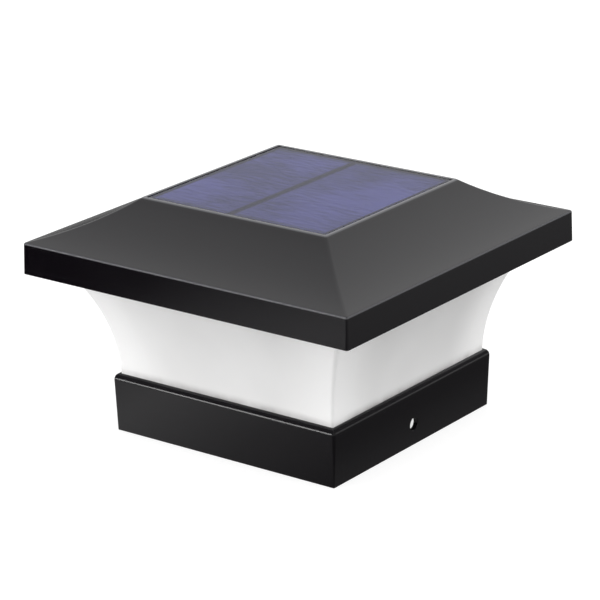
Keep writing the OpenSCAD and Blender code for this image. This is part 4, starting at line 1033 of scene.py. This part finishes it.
def screw(name, diameter, length, seat, upwards=True):
    """One screw whose head seats at a point: a crowned head with its recess, a helical thread and a tip."""
    head_r = 0.9 * diameter
    head_h = 0.55 * diameter
    crown = 1.26 * diameter
    core = 0.36 * diameter
    pitch = 0.42 * diameter
    sides = 20
    profile = [(0, -head_h)]
    for cut in range(1, 7):
        radius = head_r * cut / 6.3
        profile.append((radius, crown - head_h - math.sqrt(crown ** 2 - radius ** 2)))
    edge_z = crown - head_h - math.sqrt(crown ** 2 - head_r ** 2)
    profile += [(head_r, edge_z + 0.1), (head_r, -0.12), (head_r - 0.12, 0.0), (core + 0.1, 0.0)]
    profile.append((core, 0.15))
    head_rows = len(profile)
    profile += [(core, along) for along in evenly(0.3, length, int((length - 0.3) / (pitch / 6)))]
    bm = bmesh.new()
    rows = []
    for number, (radius, along) in enumerate(profile):
        row = []
        for turn in evenly(0, 1, sides)[:-1]:
            reach = radius
            if number >= head_rows:
                ridge = abs(((along / pitch - turn) % 1.0) * 2 - 1)
                reach = core + (diameter / 2 - core) * max(0.0, 2.2 * ridge - 1.2)
                reach *= min(1.0, (length - along) / (0.5 * diameter) * 0.85 + 0.08)
            angle = 2 * math.pi * turn
            row.append(bm.verts.new(Vector((reach * math.cos(angle), reach * math.sin(angle), along)) * mm))
        rows.append(row)
    sew(bm, rows)
    bm.faces.new(rows[-1])
    piece = new_piece(name, bm)
    for width, depth in ((0.25, 1.08), (1.08, 0.25)):
        size = (width * diameter, depth * diameter, 0.66 * diameter)
        carve(piece, block("recess", (0, 0, -head_h), size))
    flip = Matrix.Rotation(0 if upwards else math.pi, 4, "X")
    piece.data.transform(Matrix.Translation(Vector(seat) * mm) @ flip)
    smooth(piece, 40)
    return piece


for use, diameter, length, seat, count, turns in (
        ("base", 3.0, 12.0, corner(FOOT_SCREW, SHELF_Z), 1, 4),
        ("lens", 2.6, 9.0, corner(FLANGE_SCREW, FLANGE_Z), 1, 4),
        ("tray", 2.6, 10.0, corner(TRAY_SCREW, LAMP_RING_Z), 1, 4),
        ("door", 2.6, 8.0, (DOOR_SCREW, 0, DOOR_Z), 1, 2),
        ("board", 2.6, 5.0, (0, BOARD_Y, CONTROL_TOP), 2, 1)):
    screws = screw(use + "_screw_set", diameter, length, seat, upwards=use != "board")
    set_out(screws, zinc, count, BOARD_ROW, turns)
    fit(screws, use + "_screws", zinc, crease=None)

# ---- Leads ----
# Stranded copper in thin PVC, one red and one black lead each from the panel, from the battery's contacts
# and to the lamps. Their ends are stripped, tinned and soldered to pads. The leads hang in loose bends.
LEAD_OFF = 1.3
LEAD_R = 0.7
CORE_R = 0.38
BARE_SHARE = 0.045
LEAD_CUTS = 28


def bezier(points, share):
    """Point on the cubic curve of four control points."""
    a, b, c, d = (Vector(p) for p in points)
    rest = 1 - share
    return a * rest ** 3 + b * 3 * share * rest ** 2 + c * 3 * share ** 2 * rest + d * share ** 3


def pole_routes(side):
    """The three leads of one pole: panel to board, battery to board, board to lamps."""
    off = side * LEAD_OFF
    panel_x = PANEL_LEAD_X + off
    panel = [(panel_x, PANEL_LEAD_Y, BOARD_Z), (panel_x, PANEL_LEAD_Y, BOARD_Z - 5)]
    panel += [(panel_x, 29, CONTROL_TOP + 5), (panel_x, 29, CONTROL_TOP)]
    tab = [(side * 31.95, 0, TAB_Z), (side * 47.95, 0, TAB_Z), (side * 19, 19, CONTROL_TOP + 9)]
    tab.append((side * 19, 19, CONTROL_TOP))
    drive = [(10 + off, 35, CONTROL_TOP), (10 + off, 35, CONTROL_TOP + 9)]
    drive += [(LAMP_LEAD[0] + off, LAMP_LEAD[1], TRAY_Z + 14), (LAMP_LEAD[0] + off, LAMP_LEAD[1], TRAY_Z)]
    return panel, tab, drive


lead_cores = []
for side, colour_name, colours in ((1, "red", ((0.42, 0.018, 0.014), (0.56, 0.030, 0.022))),
                                   (-1, "black", ((0.012, 0.012, 0.013), (0.022, 0.022, 0.024)))):
    pvc = plain(colour_name + "_pvc", (2600.0, 120.0), colours, (0.32, 0.48), (0.02, 0.4),
                Specular_IOR_Level=0.5)
    insulation = []
    for route in pole_routes(side):
        covered = [bezier(route, share) for share in evenly(BARE_SHARE, 1 - BARE_SHARE, LEAD_CUTS)]
        insulation.append(strand("pvc", covered, LEAD_R, 12))
        whole = [bezier(route, share) for share in evenly(0, 1, LEAD_CUTS)]
        lead_cores.append(strand("core", whole, CORE_R, 8))
    node = colour_name + "_leads"
    fit(merged(node + "_pvc", insulation), node, pvc, crease=50)
add_on(merged("lead_cores", lead_cores), tinned, 50)

dome = [(0, -0.05), (0.95, -0.05), (0.9, 0.1), (0.72, 0.32), (0.45, 0.5), (0, 0.56)]
joints = []
for side in (-1, 1):
    panel, tab, drive = pole_routes(side)
    joints += [turned("joint", dome, pad, sides=16) for pad in (panel[-1], tab[-1], drive[0], drive[-1])]
add_on(merged("solder_joints", joints), tinned, 60)

# ---- Floor and light ----
# The light stands on a pale studio floor in soft light from all round, with a small soft lamp at its left
# and one behind it at the right. In reflections the studio is white above and behind the light and dark on
# the camera's side, with a thin bright strip low at the front. Glossy black plastic shows its form by it.
FLOOR_HALF = 12.0
FLOOR_SHADES = ((-0.6, 0.2), (-0.26, 0.0), (-0.185, 0.0), (-0.12, 0.46), (-0.06, 0.8), (0.0, 0.38),
                (0.075, 0.1), (0.2, 0.23), (0.6, 0.45))
UNDER_SOCKET = 0.051
SOFT_LAMPS = (("left_lamp", Vector((-0.35, -0.45, 0.13)), 1.02),
              ("right_lamp", Vector((0.42, 0.52, 0.15)), 0.86))

floor_mesh = bpy.data.meshes.new("floor")
floor_outline = rectangle(-FLOOR_HALF, FLOOR_HALF, -FLOOR_HALF, FLOOR_HALF)
floor_mesh.from_pydata([(x, y, 0) for x, y in floor_outline], [], [(0, 1, 2, 3)])
floor = bpy.data.objects.new("floor", floor_mesh)
bpy.context.scene.collection.objects.link(floor)

# The floor is white where it is looked at, and in reflections it is shaded along X
floor_paint, tree, shader = finish("floor_paint", Base_Color=(0.42, 0.42, 0.42), Roughness=1.0,
                                   Specular_IOR_Level=0.0, Emission_Color=(1.0, 1.0, 1.0))
seen = add_node(tree, "ShaderNodeLightPath").outputs
looked_at = calc(tree, "MAXIMUM", seen["Is Camera Ray"], seen["Is Transmission Ray"])
feed(shader, Emission_Strength=calc(tree, "MULTIPLY", looked_at, 0.75))
place = axes_of(tree, on_object(tree))
first_x = FLOOR_SHADES[0][0]
last_x = FLOOR_SHADES[-1][0]
shade = add_node(tree, "ShaderNodeValToRGB")
while len(shade.color_ramp.elements) < len(FLOOR_SHADES):
    shade.color_ramp.elements.new(0.5)
for mark, (x, level) in zip(shade.color_ramp.elements, FLOOR_SHADES):
    mark.position = (x - first_x) / (last_x - first_x)
    mark.color = (level, level, level, 1.0)
shaded = fill(shade, rise(tree, place["X"], first_x, last_x))
mirrored = add_node(tree, "ShaderNodeEmission", Color=shaded).outputs[0]
in_mirror = calc(tree, "SUBTRACT", seen["Is Glossy Ray"], seen["Is Transmission Ray"], use_clamp=True)
floor_seen = fill(add_node(tree, "ShaderNodeMixShader"), in_mirror, shader.outputs[0], mirrored)

# From below the floor can be looked through, and daylight reaches the inside of the socket that stands on it
clear = add_node(tree, "ShaderNodeBsdfTransparent").outputs[0]
within = [calc(tree, "COMPARE", place[axis], 0.0, UNDER_SOCKET) for axis in "XY"]
to_inside = calc(tree, "MULTIPLY", calc(tree, "MULTIPLY", *within), seen["Is Diffuse Ray"])
from_below = add_node(tree, "ShaderNodeNewGeometry").outputs["Backfacing"]
lets_through = calc(tree, "MAXIMUM", to_inside, from_below)
whole_floor = fill(add_node(tree, "ShaderNodeMixShader"), lets_through, floor_seen, clear)
feed(tree.nodes["Material Output"], Surface=whole_floor)
floor_mesh.materials.append(floor_paint)

studio = bpy.data.worlds.new("studio")
bpy.context.scene.world = studio
studio.use_nodes = True
tree = studio.node_tree
towards = axes_of(tree, add_node(tree, "ShaderNodeTexCoord").outputs["Generated"])


def studio_part(x_from, x_to, y_from, y_to):
    """Part of the studio that brightens along X and along Y from one value of the direction to the other."""
    return calc(tree, "MULTIPLY", rise(tree, towards["X"], x_from, x_to, "SMOOTHSTEP"),
                rise(tree, towards["Y"], y_from, y_to, "SMOOTHSTEP"))


def studio_strip(x, y, strength):
    """Thin bright strip on the horizon, about the direction (x, y)."""
    reaches = (("X", x, 0.16), ("Y", y, 0.10), ("Z", 0.06, 0.07))
    by_x, by_y, by_z = [calc(tree, "COMPARE", towards[axis], at, reach) for axis, at, reach in reaches]
    strip = calc(tree, "MULTIPLY", calc(tree, "MULTIPLY", by_x, by_y), by_z)
    return calc(tree, "MULTIPLY", strip, strength)


paler = spread(tree, rise(tree, towards["X"], -0.60, -0.38, "SMOOTHSTEP"), 0.88, 1.10)
white_part = calc(tree, "MULTIPLY", studio_part(0.34, 0.16, -0.26, -0.06), paler)
side_wall = spread(tree, studio_part(0.28, 0.42, 0.05, -0.20), 0.0, 0.45)
walls = spread(tree, calc(tree, "MAXIMUM", white_part, side_wall), 0.15, 1.0)
strips = calc(tree, "ADD", studio_strip(-0.56, -0.83, 12.0), studio_strip(0.65, 0.756, 0.9))
seen = add_node(tree, "ShaderNodeLightPath").outputs
looked_at = calc(tree, "MAXIMUM", seen["Is Camera Ray"], seen["Is Transmission Ray"])
level = blend(tree, seen["Is Glossy Ray"], 1.0, calc(tree, "ADD", walls, strips), "FLOAT")
feed(tree.nodes["Background"], Color=(1.0, 1.0, 1.0), Strength=blend(tree, looked_at, level, 1.0, "FLOAT"))

for name, lamp_at, energy in SOFT_LAMPS:
    soft_lamp = bpy.data.lights.new(name, "AREA")
    soft_lamp.shape = "SQUARE"
    soft_lamp.size = 0.3
    soft_lamp.energy = energy
    lamp = bpy.data.objects.new(name, soft_lamp)
    bpy.context.scene.collection.objects.link(lamp)
    to_middle = (-lamp_at).to_track_quat("-Z", "Y").to_matrix().to_4x4()
    lamp.matrix_world = Matrix.Translation(lamp_at) @ to_middle
    lamp.visible_glossy = False
